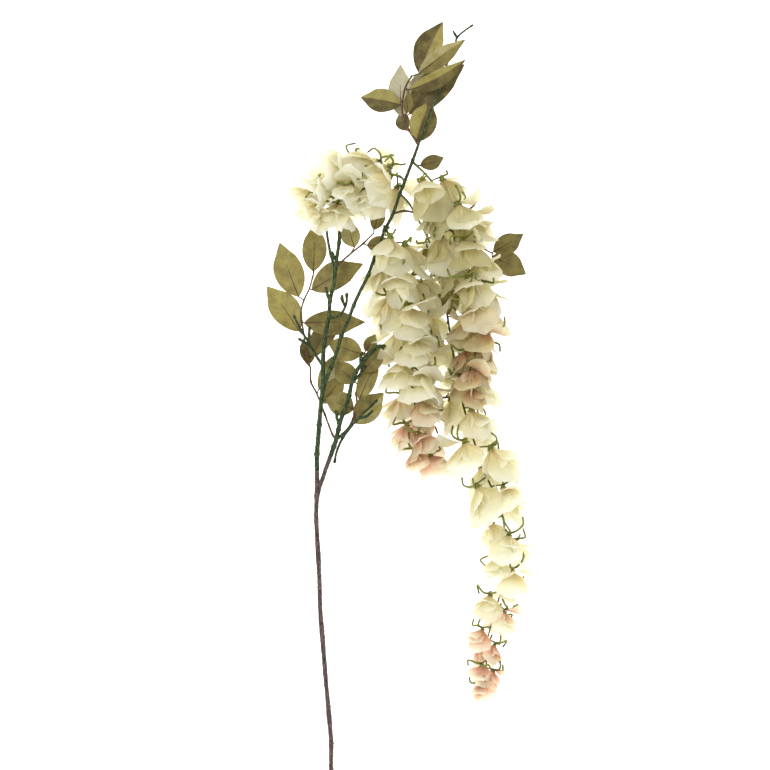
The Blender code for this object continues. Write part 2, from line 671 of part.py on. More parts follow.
def main():
    for old in list(bpy.data.objects):
        bpy.data.objects.remove(old)
    stems = stem_tubes()
    wide = stem_tubes(SEAT_GAP)
    cutters = [piece for some in wide.values() for piece in some]
    node("main_stem", stems["main_stem"], BARK)
    node("green_branch_left", stems["green_branch_left"], GREEN_STALK, wide["main_stem"])
    carriers = wide["main_stem"] + wide["green_branch_left"]
    node("green_branch_right", stems["green_branch_right"], GREEN_STALK, carriers)
    placed = [piece for some in stems.values() for piece in some]
    sprigs = {
        "leaf_sprig_left": ([LEFT_SPRIG_TWIG], LEFT_SPRIG_LEAVES),
        "leaf_sprig_right": ([RIGHT_SPRIG_TWIG], RIGHT_SPRIG_LEAVES),
        "leaf_sprig_upper": ([UPPER_SPRIG_TWIG], UPPER_SPRIG_LEAVES),
        "leaf_sprig_back": ([BACK_SPRIG_TWIG, BACK_SPRIG_SIDE_TWIG], BACK_SPRIG_LEAVES),
        "leaf_sprig_top": ([TOP_SPRIG_TWIG, TOP_SPRIG_SIDE_TWIG], TOP_SPRIG_LEAVES),
        "leaf_on_wand": ([WAND_LEAF_TWIG], WAND_LEAF_LEAVES),
    }
    for name, (twigs, leaves) in sprigs.items():
        pieces = leaf_sprig(twigs, leaves)
        node(name, pieces, LEAF_OLIVE, cutters)
        placed += pieces
    racemes = {
        "flower_raceme_upper": UPPER_RACEME,
        "flower_raceme_right": RIGHT_RACEME,
        "flower_raceme_middle": MIDDLE_RACEME,
        "flower_raceme_long": LONG_RACEME,
    }
    for name, facts in racemes.items():
        others = [rachis(other, SEAT_GAP) for other in racemes.values() if other is not facts]
        pieces = raceme(facts, placed + others)
        node(name, pieces, PETAL_CREAM, cutters)
        placed += pieces
    whole = bpy.data.objects.new("wisteria_stem", None)
    bpy.context.scene.collection.objects.link(whole)
    for piece in bpy.data.objects:
        if piece.type == "MESH":
            piece.parent = whole


main()
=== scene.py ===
"""An artificial wisteria stem in flower, as it lies on a white table. Lengths are in millimetres."""

import math
import random

import bpy
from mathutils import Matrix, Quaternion, Vector, noise
from mathutils.bvhtree import BVHTree


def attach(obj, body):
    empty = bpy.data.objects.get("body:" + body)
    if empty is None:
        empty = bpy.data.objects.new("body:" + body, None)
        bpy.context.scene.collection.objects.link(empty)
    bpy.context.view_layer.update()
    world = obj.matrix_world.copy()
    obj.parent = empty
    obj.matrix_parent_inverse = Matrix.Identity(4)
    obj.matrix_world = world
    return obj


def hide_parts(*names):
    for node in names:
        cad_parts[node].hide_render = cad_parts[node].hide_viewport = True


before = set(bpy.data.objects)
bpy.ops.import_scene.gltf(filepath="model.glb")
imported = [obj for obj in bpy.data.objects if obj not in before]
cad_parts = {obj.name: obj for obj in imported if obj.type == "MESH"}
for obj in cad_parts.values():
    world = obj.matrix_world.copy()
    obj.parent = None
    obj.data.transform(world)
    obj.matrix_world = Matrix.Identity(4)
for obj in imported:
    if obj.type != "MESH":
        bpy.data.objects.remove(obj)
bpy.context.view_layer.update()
MM = 0.001

# The view. The camera looks straight down on the stem from high over the table, so that the parts
# near it look no larger than the parts far from it. It frames a square of the table.
VIEW_CENTRE = (-23.4, 26.0)
VIEW_WIDTH = 1001.0
VIEW_HEIGHT = 6000.0
STEM_HEIGHT = 50.0
SENSOR_WIDTH = 36.0

eye = bpy.data.objects.new("camera", bpy.data.cameras.new("camera"))
eye.location = (MM * VIEW_CENTRE[0], MM * VIEW_CENTRE[1], MM * (VIEW_HEIGHT + STEM_HEIGHT))
eye.data.sensor_width = SENSOR_WIDTH
eye.data.lens = SENSOR_WIDTH * VIEW_HEIGHT / VIEW_WIDTH
bpy.context.scene.collection.objects.link(eye)
bpy.context.scene.camera = eye

# The table and the light. A white tabletop that glows a little lies under the stem. A large soft lamp
# hangs to the upper left, a weaker one to the right, and the white room fills the shadows.
TABLE_SIZE = 9000.0
TABLE_DEPTH = 1.0
TABLE_WHITE = 0.9
TABLE_GLOW = 1.25
ROOM_LIGHT = 0.78
LAMPS = {
    "key_lamp": dict(place=(-1300, 900, 2100), size=1100, watts=22),
    "fill_lamp": dict(place=(1500, -700, 1700), size=1500, watts=8),
}


def display(red, green, blue):
    """A colour given as a screen shows it, from 0 to 255, as a shader takes it."""
    shares = (value / 255 for value in (red, green, blue))
    linear = [((s + 0.055) / 1.055) ** 2.4 if s > 0.04045 else s / 12.92 for s in shares]
    return (*linear, 1.0)


def shader_node(tree, kind, inputs=(), **settings):
    """A node with its settings. Each input takes a value or the output of another node."""
    made = tree.nodes.new("ShaderNode" + kind)
    for name, value in settings.items():
        setattr(made, name, value)
    for name, value in dict(inputs).items():
        if isinstance(value, bpy.types.NodeSocket):
            tree.links.new(value, made.inputs[name])
        else:
            made.inputs[name].default_value = value
    return made


def finish_named(name, roughness):
    """A new material with its node tree and its one shader."""
    made = bpy.data.materials.new(name)
    made.use_nodes = True
    shader = made.node_tree.nodes["Principled BSDF"]
    shader.inputs["Roughness"].default_value = roughness
    return made, made.node_tree, shader


tabletop, tree, shader = finish_named("white_tabletop", 0.8)
shader.inputs["Base Color"].default_value = (TABLE_WHITE, TABLE_WHITE, TABLE_WHITE, 1)
shader.inputs["Emission Color"].default_value = (1, 1, 1, 1)
shader.inputs["Emission Strength"].default_value = TABLE_GLOW
mesh = bpy.data.meshes.new("table")
far = MM * TABLE_SIZE / 2
low = -MM * TABLE_DEPTH
corners = [(-far, -far, low), (far, -far, low), (far, far, low), (-far, far, low)]
mesh.from_pydata(corners, [], [(0, 1, 2, 3)])
mesh.materials.append(tabletop)
table = bpy.data.objects.new("table", mesh)
bpy.context.scene.collection.objects.link(table)

room = bpy.data.worlds.new("room")
room.use_nodes = True
room.node_tree.nodes["Background"].inputs["Color"].default_value = (1, 1, 1, 1)
room.node_tree.nodes["Background"].inputs["Strength"].default_value = ROOM_LIGHT
bpy.context.scene.world = room
bpy.context.scene.view_settings.view_transform = "Standard"

for name, facts in LAMPS.items():
    light = bpy.data.lights.new(name, "AREA")
    light.size = MM * facts["size"]
    light.energy = facts["watts"]
    lamp = bpy.data.objects.new(name, light)
    lamp.location = MM * Vector(facts["place"])
    lamp.rotation_mode = "QUATERNION"
    lamp.rotation_quaternion = (Vector() - Vector(facts["place"])).to_track_quat("-Z", "Y")
    bpy.context.scene.collection.objects.link(lamp)

# The brown stem. It is a steel wire moulded in plastic with the furrows and bumps of bark, cut off flat
# at its foot, with a short arm at the fork. The two green branches are pushed on its two ends.
MAIN_STEM = [
    (-93, -500, 3.7), (-94, -474, 5), (-94, -442, 7), (-97, -403, 10), (-101, -357, 14),
    (-104, -318, 18), (-108, -266, 23), (-109, -227, 27), (-111, -188, 31), (-113, -149, 34),
    (-112.5, -123, 36.5), (-112, -104, 38), (-112, -84, 39.5),
]
FORK_ARM = [(-112, -124, 36), (-109, -109, 38), (-105, -97, 40), (-100, -82, 43), (-94, -66, 46)]
STEM_RADIUS = 3.2
STEM_SWELLING = 0.35
STEM_WAVES = (1.4, 3.8)
ARM_RADII = (2.7, 3.0)
STEM_SIDES = 18
STEM_SPANS = 16
BARK_RELIEF = 0.16
BARK_GRAIN = 3.2
NUBS = [(0.035, 2.2, 1.6), (0.16, 0.6, 1.5), (0.315, 3.6, 1.2), (0.46, 1.0, 1.3), (0.6, 4.4, 1.2),
        (0.73, 2.6, 1.4), (0.86, 0.3, 1.5), (0.93, 3.5, 1.3)]
NUB_HEIGHT = 1.7
NUB_LEAN = 0.5
NUB_TAPER = 0.6
NUB_SIDES = 9
NUB_SPANS = 4
DOME = [(0.0, 1.0), (0.5, 0.87), (0.87, 0.5), (0.98, 0.2)]
SHARP_EDGE = math.radians(42)
REACH_SCALE = 0.01


def smooth_route(points, spans):
    """A smooth curve through the points, with this many steps between each two."""
    knots = [Vector(p) for p in points]
    knots = [2 * knots[0] - knots[1], *knots, 2 * knots[-1] - knots[-2]]
    route = []
    for a, b, c, d in zip(knots, knots[1:], knots[2:], knots[3:]):
        for step in range(spans):
            t = step / spans
            route.append(
                0.5 * (2 * b + (c - a) * t + (2 * a - 5 * b + 4 * c - d) * t * t
                       + (3 * b - a - 3 * c + d) * t ** 3)
            )
    return [*route, knots[-2]]


def tangents_of(route):
    """The way the route leads at each of its points."""
    ahead = [*route[1:], 2 * route[-1] - route[-2]]
    behind = [2 * route[0] - route[1], *route[:-1]]
    return [(a - b).normalized() for a, b in zip(ahead, behind)]


def tapered(route, first, last):
    """Radii that change evenly from the first to the last along the route."""
    end = len(route) - 1
    return [first + (last - first) * i / end for i in range(end + 1)]


class Cast:
    """A piece in the making: points in millimetres, faces, and what its finish reads at each point."""

    def __init__(self):
        self.points, self.faces, self.places, self.tones, self.finishes = [], [], [], [], []

    def add(self, shape, tone=(0.5, 0.0, 0.0), finish=0):
        """Adds points, faces and places. Places say how far across and along the part a point is."""
        points, faces, places = shape
        start = len(self.points)
        self.points += [Vector((p.x, p.y, max(p.z, 0.0))) for p in points]
        self.places += places
        self.tones += [tone] * len(points)
        self.faces += [[i + start for i in face] for face in faces]
        self.finishes += [finish] * len(faces)

    def piece(self, name, *finishes):
        """The finished piece, with its finishes in the order of their numbers."""
        mesh = bpy.data.meshes.new(name)
        mesh.from_pydata([MM * p for p in self.points], [], self.faces)
        for key, values in (("place", self.places), ("tone", self.tones)):
            layer = mesh.attributes.new(key, "FLOAT_VECTOR", "POINT")
            layer.data.foreach_set("vector", [x for value in values for x in value])
        for finish in finishes:
            mesh.materials.append(finish)
        mesh.polygons.foreach_set("material_index", self.finishes)
        mesh.shade_smooth()
        mesh.set_sharp_from_angle(angle=SHARP_EDGE)
        made = bpy.data.objects.new(name, mesh)
        bpy.context.scene.collection.objects.link(made)
        return made


def tube(route, radii, sides, relief=0.0, grain=1.0, cut=False):
    """A round bar along the route, with domed ends or one flat cut. Its skin rises and falls by the
    relief, a share of the radius, from one grain to the next."""
    tangents = tangents_of(route)
    rings = list(zip(route, tangents, radii))
    (foot, down, foot_radius), (top, up, top_radius) = rings[0], rings[-1]
    tail = [(top + out * top_radius * up, up, share * top_radius) for out, share in DOME[1:]]
    head = [(foot - out * foot_radius * down, down, share * foot_radius) for out, share in DOME[:0:-1]]
    rings = ([] if cut else head) + rings + tail
    across = rings[0][1].orthogonal().normalized()
    points, faces, places = [], [], []
    reach = 0.0
    for i, (centre, tangent, radius) in enumerate(rings):
        if i:
            across = rings[i - 1][1].rotation_difference(tangent) @ across
            reach += (centre - rings[i - 1][0]).length
        for side in range(sides):
            spoke = Quaternion(tangent, math.tau * side / sides) @ across
            rise = relief * noise.noise((centre + radius * spoke) / grain)
            points.append(centre + radius * (1 + rise) * spoke)
            places.append((side / sides, REACH_SCALE * reach, 0.0))
    for ring in range(len(rings) - 1):
        for side in range(sides):
            here, there = ring * sides + side, ring * sides + (side + 1) % sides
            faces.append((here, there, there + sides, here + sides))
    last = (len(rings) - 1) * sides
    faces.append(tuple(range(sides))[::-1])
    faces.append(tuple(range(last, last + sides)))
    return points, faces, places


def colour_ramp(tree, factor, stops):
    """The colour that the factor picks between the stops, given as position and display colour."""
    made = shader_node(tree, "ValToRGB", {"Fac": factor})
    elements = made.color_ramp.elements
    elements[0].position, elements[1].position = stops[0][0], stops[-1][0]
    for position, _ in stops[1:-1]:
        elements.new(position)
    for element, (_, colour) in zip(elements, stops):
        element.color = display(*colour)
    return made.outputs["Color"]


def bump(tree, shader, height, distance, strength=1.0):
    """Raises the surface by a height from 0 to 1 of this distance in millimetres."""
    facts = {"Height": height, "Distance": MM * distance, "Strength": strength}
    tree.links.new(shader_node(tree, "Bump", facts).outputs["Normal"], shader.inputs["Normal"])


def grain_of(tree, place, per_mm, detail=3.0, roughness=0.55):
    """Cloudy noise with this many clouds to a millimetre."""
    facts = {"Vector": place, "Scale": per_mm / MM, "Detail": detail, "Roughness": roughness}
    return shader_node(tree, "TexNoise", facts).outputs["Fac"]


def stretched(tree, place, shares):
    """The place with its three parts scaled, so that a grain comes out long and narrow."""
    return shader_node(tree, "Mapping", {"Vector": place, "Scale": shares}).outputs["Vector"]


bark, tree, shader = finish_named("brown_bark", 0.62)
place = shader_node(tree, "TexCoord").outputs["Object"]
furrows = grain_of(tree, stretched(tree, place, (1, 0.22, 1)), 0.9, 5.0)
blotches = grain_of(tree, place, 0.12, 2.0)
browns = colour_ramp(tree, furrows, [(0.3, (30, 18, 18)), (0.48, (78, 57, 54)), (0.66, (138, 116, 111))])
dusty = colour_ramp(tree, blotches, [(0.35, (150, 130, 128)), (0.65, (255, 250, 248))])
mixed = shader_node(tree, "Mix", data_type="RGBA", blend_type="MULTIPLY")
mixed.inputs["Factor"].default_value = 0.6
tree.links.new(browns, mixed.inputs[6])
tree.links.new(dusty, mixed.inputs[7])
tree.links.new(mixed.outputs[2], shader.inputs["Base Color"])
bump(tree, shader, furrows, 0.35)

route = smooth_route(MAIN_STEM, STEM_SPANS)
slow, fast = (wave / STEM_SPANS for wave in STEM_WAVES)
swellings = [STEM_SWELLING * math.sin(slow * i) * math.sin(fast * i) for i in range(len(route))]
radii = [STEM_RADIUS + swelling for swelling in swellings]
cast = Cast()
cast.add(tube(route, radii, STEM_SIDES, BARK_RELIEF, BARK_GRAIN, cut=True))
arm = smooth_route(FORK_ARM, STEM_SPANS // 2)
cast.add(tube(arm, tapered(arm, *ARM_RADII), STEM_SIDES, BARK_RELIEF, BARK_GRAIN))
tangents = tangents_of(route)
for share, turn, radius in NUBS:
    i = round(share * (len(route) - 1))
    spoke = Quaternion(tangents[i], turn) @ tangents[i].orthogonal().normalized()
    foot = route[i] + (STEM_RADIUS - radius) * spoke
    ridge = smooth_route([foot, foot + NUB_HEIGHT * (spoke + NUB_LEAN * tangents[i])], NUB_SPANS)
    cast.add(tube(ridge, tapered(ridge, radius, NUB_TAPER * radius), NUB_SIDES, BARK_RELIEF, BARK_GRAIN))
brown_stem = cast.piece("brown_stem", bark)
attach(brown_stem, "root")
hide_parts("main_stem")

# The two green branches. Each is moulded in soft green plastic over wire, with swollen knots and short
# bare pegs with bud ends, and is pushed on an arm of the fork. The left one carries a long wand with a
# lumpy collar two thirds of the way up.
LEFT_BRANCH = [
    (-112, -84, 39.5), (-112, -64, 41), (-110.5, -45, 43), (-109, -26, 44), (-107, 0, 46),
    (-104.5, 20, 48), (-104, 36, 49), (-104, 56, 50), (-103, 72, 51), (-100, 96, 52),
    (-96, 116, 53), (-95, 135, 54), (-90, 156, 55), (-88, 176, 56), (-86, 191, 57),
    (-83, 211, 58), (-82.5, 224, 58),
]
WAND = [
    (-105, 17, 47.5), (-94, 49, 54), (-86, 69, 58), (-80, 90, 61), (-71.5, 109, 64),
    (-64, 129, 66), (-55, 149, 67), (-45, 169, 67), (-34, 201, 66), (-22, 230, 65),
    (-13, 248, 65), (-4, 274, 66), (4.5, 296, 68), (12.5, 317, 70), (19, 335, 70),
]
LEFT_TWIGS = [
    [(-88, 176, 56), (-94, 196, 57), (-97.5, 214, 57), (-100, 233, 56)],
    [(-95, 134, 54), (-98, 143, 55), (-100, 152, 56)],
    [(-96, 113, 53), (-82, 117, 53), (-74, 131, 52), (-73, 144, 50)],
    [(-75, 128, 52.5), (-79, 137, 54), (-79, 142, 54)],
    [(-104, 50, 50), (-116, 69, 49), (-123.5, 83, 48), (-133, 98, 47), (-142, 116, 45)],
    [(-123, 82, 48), (-122, 92, 50), (-121.5, 101, 51)],
    [(-119, 75, 48.5), (-127, 80, 50), (-135, 86, 51)],
    [(-87, 188, 56.5), (-91, 194, 59), (-92, 198, 60)],
]
RIGHT_BRANCH = [
    (-94, -66, 46), (-90, -54, 49), (-87, -45, 50), (-84, -32, 51), (-81, -20, 52),
    (-77, -9, 53), (-72, 4, 53), (-70, 12, 54), (-66, 30, 54), (-61, 43, 55), (-52, 56, 56),
    (-43, 67, 57), (-33, 76, 57), (-25, 76, 56),
]
RIGHT_TWIGS = [
    [(-87, -45, 50), (-78, -38, 52), (-70, -29, 53), (-61, -21, 54), (-52, -11, 54),
     (-40, 0, 53), (-34, 6, 52)],
    [(-57, -17, 54), (-48, -15, 57), (-40, -8, 58)],
    [(-83, -28, 51), (-86, -16, 52), (-87, -8, 53)],
    [(-65, 32, 54), (-58, 37, 53), (-49, 51, 50)],
    [(-55, 52, 56), (-55, 60, 58), (-53, 68, 59)],
    [(-66, -26, 53), (-78, -42, 48), (-86, -60, 44), (-89, -74, 39)],
]
LEFT_RADII = (3.3, 2.2)
WAND_RADII = (2.5, 2.0)
RIGHT_RADII = (3.1, 2.4)
PEG_RADIUS = 2.0
PEG_TAPER = 0.75
BUD_SWELLING = 1.3
BUD_LENGTH = 3.5
BUD_PLACE = 0.6
BUD_SHARPNESS = 2
KNOT_SWELLING = 0.32
KNOT_LENGTH = 2.4
BRANCH_RELIEF = 0.15
BRANCH_GRAIN = 2.2
BRANCH_SIDES = 14
BRANCH_SPANS = 8
COLLAR_PLACE = 9
COLLAR_LUMPS = 11
COLLAR_LENGTH = 12.0
COLLAR_RADII = (1.2, 2.1)
COLLAR_BELOW = 0.7
COLLAR_TURN = 2.4
COLLAR_SEED = 4
LUMP_TAPER = 0.8
LUMP_SIDES = 9


def knotted(points, spans, first, last):
    """A route with its radii: tapered from first to last, and swollen at every other point."""
    route = smooth_route(points, spans)
    radii = tapered(route, first, last)
    knots = route[spans::2 * spans]
    for i, place in enumerate(route):
        nearest = min((place - knot).length for knot in knots)
        radii[i] *= 1 + KNOT_SWELLING * math.exp(-(nearest / KNOT_LENGTH) ** 2)
    return route, radii


def peg(points, spans, radius):
    """A short bare twig that ends in a bud."""
    route, radii = knotted(points, spans, radius, PEG_TAPER * radius)
    for i, place in enumerate(route):
        left = (route[-1] - place).length
        radii[i] *= 1 + (BUD_SWELLING - 1) * math.exp(-BUD_SHARPNESS * (left / BUD_LENGTH - BUD_PLACE) ** 2)
    return route, radii


green_plastic, tree, shader = finish_named("green_plastic", 0.6)
place = shader_node(tree, "TexCoord").outputs["Object"]
streaks = grain_of(tree, stretched(tree, place, (1, 0.4, 1)), 0.55, 4.0)
greens = colour_ramp(tree, streaks, [(0.32, (24, 36, 14)), (0.5, (48, 66, 34)), (0.7, (94, 110, 66))])
tree.links.new(greens, shader.inputs["Base Color"])
shader.inputs["Specular IOR Level"].default_value = 0.25
bump(tree, shader, streaks, 0.3)

branches = {
    "green_branch_left": ([(LEFT_BRANCH, LEFT_RADII), (WAND, WAND_RADII)], LEFT_TWIGS),
    "green_branch_right": ([(RIGHT_BRANCH, RIGHT_RADII)], RIGHT_TWIGS),
}
for node, (stems, twigs) in branches.items():
    cast = Cast()
    for points, ends in stems:
        shape = knotted(points, BRANCH_SPANS, *ends)
        cast.add(tube(*shape, BRANCH_SIDES, BRANCH_RELIEF, BRANCH_GRAIN))
    for points in twigs:
        shape = peg(points, BRANCH_SPANS, PEG_RADIUS)
        cast.add(tube(*shape, BRANCH_SIDES, BRANCH_RELIEF, BRANCH_GRAIN))
    if node == "green_branch_left":
        draw = random.Random(COLLAR_SEED)
        middle = Vector(WAND[COLLAR_PLACE])
        along = (Vector(WAND[COLLAR_PLACE + 1]) - middle).normalized()
        for lump in range(COLLAR_LUMPS):
            spoke = Quaternion(along, COLLAR_TURN * lump) @ along.orthogonal().normalized()
            radius = draw.uniform(*COLLAR_RADII)
            climb = COLLAR_LENGTH * (lump / COLLAR_LUMPS - COLLAR_BELOW)
            foot = middle + climb * along + WAND_RADII[1] * spoke
            ridge = [foot, foot + LUMP_TAPER * radius * (spoke + along)]
            cast.add(tube(ridge, [radius, LUMP_TAPER * radius], LUMP_SIDES, BRANCH_RELIEF, BRANCH_GRAIN))
    branch = cast.piece(node + "_moulded", green_plastic)
    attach(branch, "root")
    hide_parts(node)

# The leaf sprigs. Each leaf is die-cut olive cloth, printed with veins and pressed in an arch with a
# folded middle. On some leaves one half is painted paler: a painted highlight where that half would catch
# the light. A brown plastic stalk is glued along its midrib and moulded to a twig, which is brown, or green
# where it runs on from the wand.
LEAVES = {
    # Each leaf is given by its foot, tip, width, roll and shade, and by the half with a painted highlight,
    # if any.
    "leaf_sprig_left": dict(
        twigs=[[
            (-87, -46, 50), (-92, -38, 45), (-96, -28, 40), (-102, -12, 34), (-112, 14, 31),
            (-120, 30, 30), (-121, 49, 29), (-127, 67, 28), (-129, 90, 28), (-132, 109, 28),
            (-133, 122, 28), (-129, 137, 29), (-122, 152, 30), (-118, 166, 31), (-116, 174, 31),
        ]],
        leaves=[
            ((-136, 141, 28), (-161, 212, 20), 39, -8, 0.55),
            ((-117, 174, 31), (-115, 238, 34), 32, 6, 0.5),
            ((-119, 150, 30), (-52, 184, 33), 37, -12, 0.4),
            ((-129, 107, 29), (-49, 108, 34), 34, 18, 0.35),
            ((-135, 96, 27), (-178, 155, 9), 39, 10, 0.65),
            ((-119, 62, 26), (-80, 118, 17), 30, -20, 0.2),
            ((-124, 52, 26), (-131, 86, 17), 24, 38, 0.1),
            ((-110, 20, 28), (-72, 72, 23), 26, -24, 0.5, 1),
            ((-106, 2, 31), (-76, 40, 34), 26, 16, 0.5),
        ],
    ),
    "leaf_sprig_right": dict(
        twigs=[[
            (-70, -29, 53), (-65, -18, 47), (-60, 1, 43), (-61, 15, 41), (-58, 27, 41),
            (-55, 43, 43), (-52, 58, 45), (-50, 68, 46),
        ]],
        leaves=[
            ((-64, -6, 43), (-102, 8, 42), 32, 10, 0.45),
            ((-62, 29, 42), (-88, 58, 43), 28, -6, 0.4),
            ((-53, 66, 45), (-98, 82, 40), 32, -6, 0.5),
            ((-52, 43, 46), (-24, 78, 54), 26, 10, 0.3),
            ((-57, 6, 42), (-31, 60, 36), 24, -14, 0.5),
            ((-63, -24, 42), (-25, 16, 37), 34, 0, 0.3, 1),
            ((-49, 70, 46), (-36, 92, 47), 18, 10, 0.3),
        ],
    ),
    "leaf_sprig_upper": dict(
        twigs=[[(-88, 178, 56), (-80, 186, 53), (-68, 197, 48), (-52, 210, 43), (-38, 224, 39)]],
        leaves=[
            ((-63, 205, 46), (-71, 240, 42), 26, -12, 0.95),
            ((-38, 228, 39), (-28, 262, 34), 20, 10, 0.3),
            ((-47, 208, 41), (-12, 208, 34), 24, -8, 0.4),
        ],
    ),
    "leaf_sprig_back": dict(
        twigs=[
            [(-13, 248, 65), (0, 252, 51), (15, 250, 43), (40, 238, 35), (70, 223, 28),
             (95, 209, 24), (117, 198, 22)],
            [(40, 238, 35), (56, 200, 25), (70, 162, 19), (76, 142, 17)],
        ],
        leaves=[
            ((20, 251, 40), (64, 252, 28), 26, 4, 0.0),
            ((88, 215, 25), (112, 240, 26), 26, -14, 0.2),
            ((118, 200, 23), (157, 223, 27), 27, 6, 0.3),
            ((116, 194, 21), (161, 171, 12), 32, -6, 0.35),
            ((73, 141, 17), (42, 128, 13), 36, 8, 0.4),
            ((76, 148, 16), (100, 178, 8), 26, -4, 0.3),
            ((53, 205, 24), (24, 184, 16), 28, 12, 0.3),
        ],
    ),
    "leaf_sprig_top": dict(
        ends=(1.6, 1.3),
        twigs=[
            [(19, 335, 70), (30, 364, 70), (36, 381, 69), (44, 400, 67), (52, 429, 64),
             (61, 452, 62), (68, 469, 60), (70, 477, 59), (80, 486, 58), (90, 493, 57)],
            [(19.5, 337, 70), (8, 356, 66), (0, 372, 62), (-1, 392, 58), (3, 412, 56), (11, 427, 55)],
            [(70, 477, 59), (67.5, 481, 60), (65, 485, 61)],
        ],
        green=(0, 2),
        leaves=[
            ((21, 431, 50), (52, 499, 40), 36, -14, 0.1, 1),
            ((20, 430, 60), (81, 474, 70), 24, 12, 0.4, -1),
            ((9, 409, 64), (81, 447, 80), 24, 24, 0.1, -1),
            ((8, 378, 52), (80, 443, 46), 42, -12, 0.05),
            ((6, 408, 44), (51, 434, 34), 30, 6, 1.4),
            ((-3, 390, 54), (-55, 401, 36), 32, 12, 0.05, 1),
            ((-1, 374, 46), (-3, 444, 33), 32, -4, 1.4),
            ((5, 378, 66), (7, 408, 75), 13, 20, 0.3),
            ((17, 341, 66), (36, 395, 54), 36, 8, 0.15, -1),
            ((6, 356, 62), (-4, 380, 40), 20, -16, 0.1),
        ],
    ),
    "leaf_on_wand": dict(
        twigs=[[(12.5, 317, 70), (16, 312, 64), (22, 311, 58)]],
        leaves=[((22, 311, 58), (53, 322, 48), 20, 10, 0.2)],
    ),
}
LEAF_ARCH = 0.07
LEAF_FOLD = 0.2
LEAF_CLOTH = 0.45
LEAF_ROWS = 22
LEAF_COLUMNS = 12
LEAF_WAVE = 0.07
LEAF_FOOT = 0.8
LEAF_FULLNESS = 0.29
LEAF_TIP_START = 0.7
LEAF_TIP_DRAW = 0.14
LEAF_BEND = 0.03
LEAF_FOLD_CURVE = 1.4
LEAF_RIPPLES = (7, 15)
RIPPLE_SHARE = 0.5
LEAF_SEED = 11
NARROWEST = 0.35
TWIG_RADII = (1.5, 1.0)
TWIG_SPANS = 6
TWIG_SIDES = 9
TWIG_RELIEF = 0.14
TWIG_GRAIN = 2.0
STALK_RADIUS = 0.85
MIDRIB_END = 0.6
MIDRIB_RADII = (0.95, 0.4)
MIDRIB_SPANS = 9
MIDRIB_SIDES = 7
MIDRIB_RELIEF = 0.1
SHORTEST_STALK = 3.0
STALK_ROOT = 2.0
STALK_BOW = 0.06
STALK_SPANS = 4
VEIN_SLANT = 0.24
VEIN_PAIRS = 9.0
VEIN_WIDTH = 0.09
VEIN_DARKNESS = 0.3
# How much paler the painted highlight makes one half of a leaf, and how far from the midrib it reaches full
# strength.
PAINTED_HIGHLIGHT = 0.6
PAINTED_HIGHLIGHT_EDGE = 0.2


def cloth(rows, thickness):
    """A thin closed sheet over rows of points, in points, upper and lower faces, and its hem."""
    high, wide = len(rows), len(rows[0])
    upper, lower = [], []
    for i, row in enumerate(rows):
        for j, point in enumerate(row):
            along = rows[min(i + 1, high - 1)][j] - rows[max(i - 1, 0)][j]
            across = row[min(j + 1, wide - 1)] - row[max(j - 1, 0)]
            normal = across.cross(along).normalized()
            upper.append(point + 0.5 * thickness * normal)
            lower.append(point - 0.5 * thickness * normal)
    grid = [(i * wide + j, i * wide + j + 1, (i + 1) * wide + j + 1, (i + 1) * wide + j)
            for i in range(high - 1) for j in range(wide - 1)]
    far = high * wide
    under = [tuple(k + far for k in face[::-1]) for face in grid]
    edge = list(range(wide)) + [i * wide + wide - 1 for i in range(1, high)]
    edge += [(high - 1) * wide + j for j in range(wide - 2, -1, -1)]
    edge += [i * wide for i in range(high - 2, 0, -1)]
    hem = [(b, a, a + far, b + far) for a, b in zip(edge, [*edge[1:], edge[0]])]
    return upper + lower, grid, under, hem


def leaf_width(share):
    """The width of a leaf at a share of its length: wedge-shaped at the foot, with a drawn-out tip."""
    oval = share ** LEAF_FOOT * (1 - share) / LEAF_FULLNESS
    drawn = max(0.0, (share - LEAF_TIP_START) / (1 - LEAF_TIP_START))
    return oval * (1 - LEAF_TIP_DRAW * math.sin(math.pi * drawn))


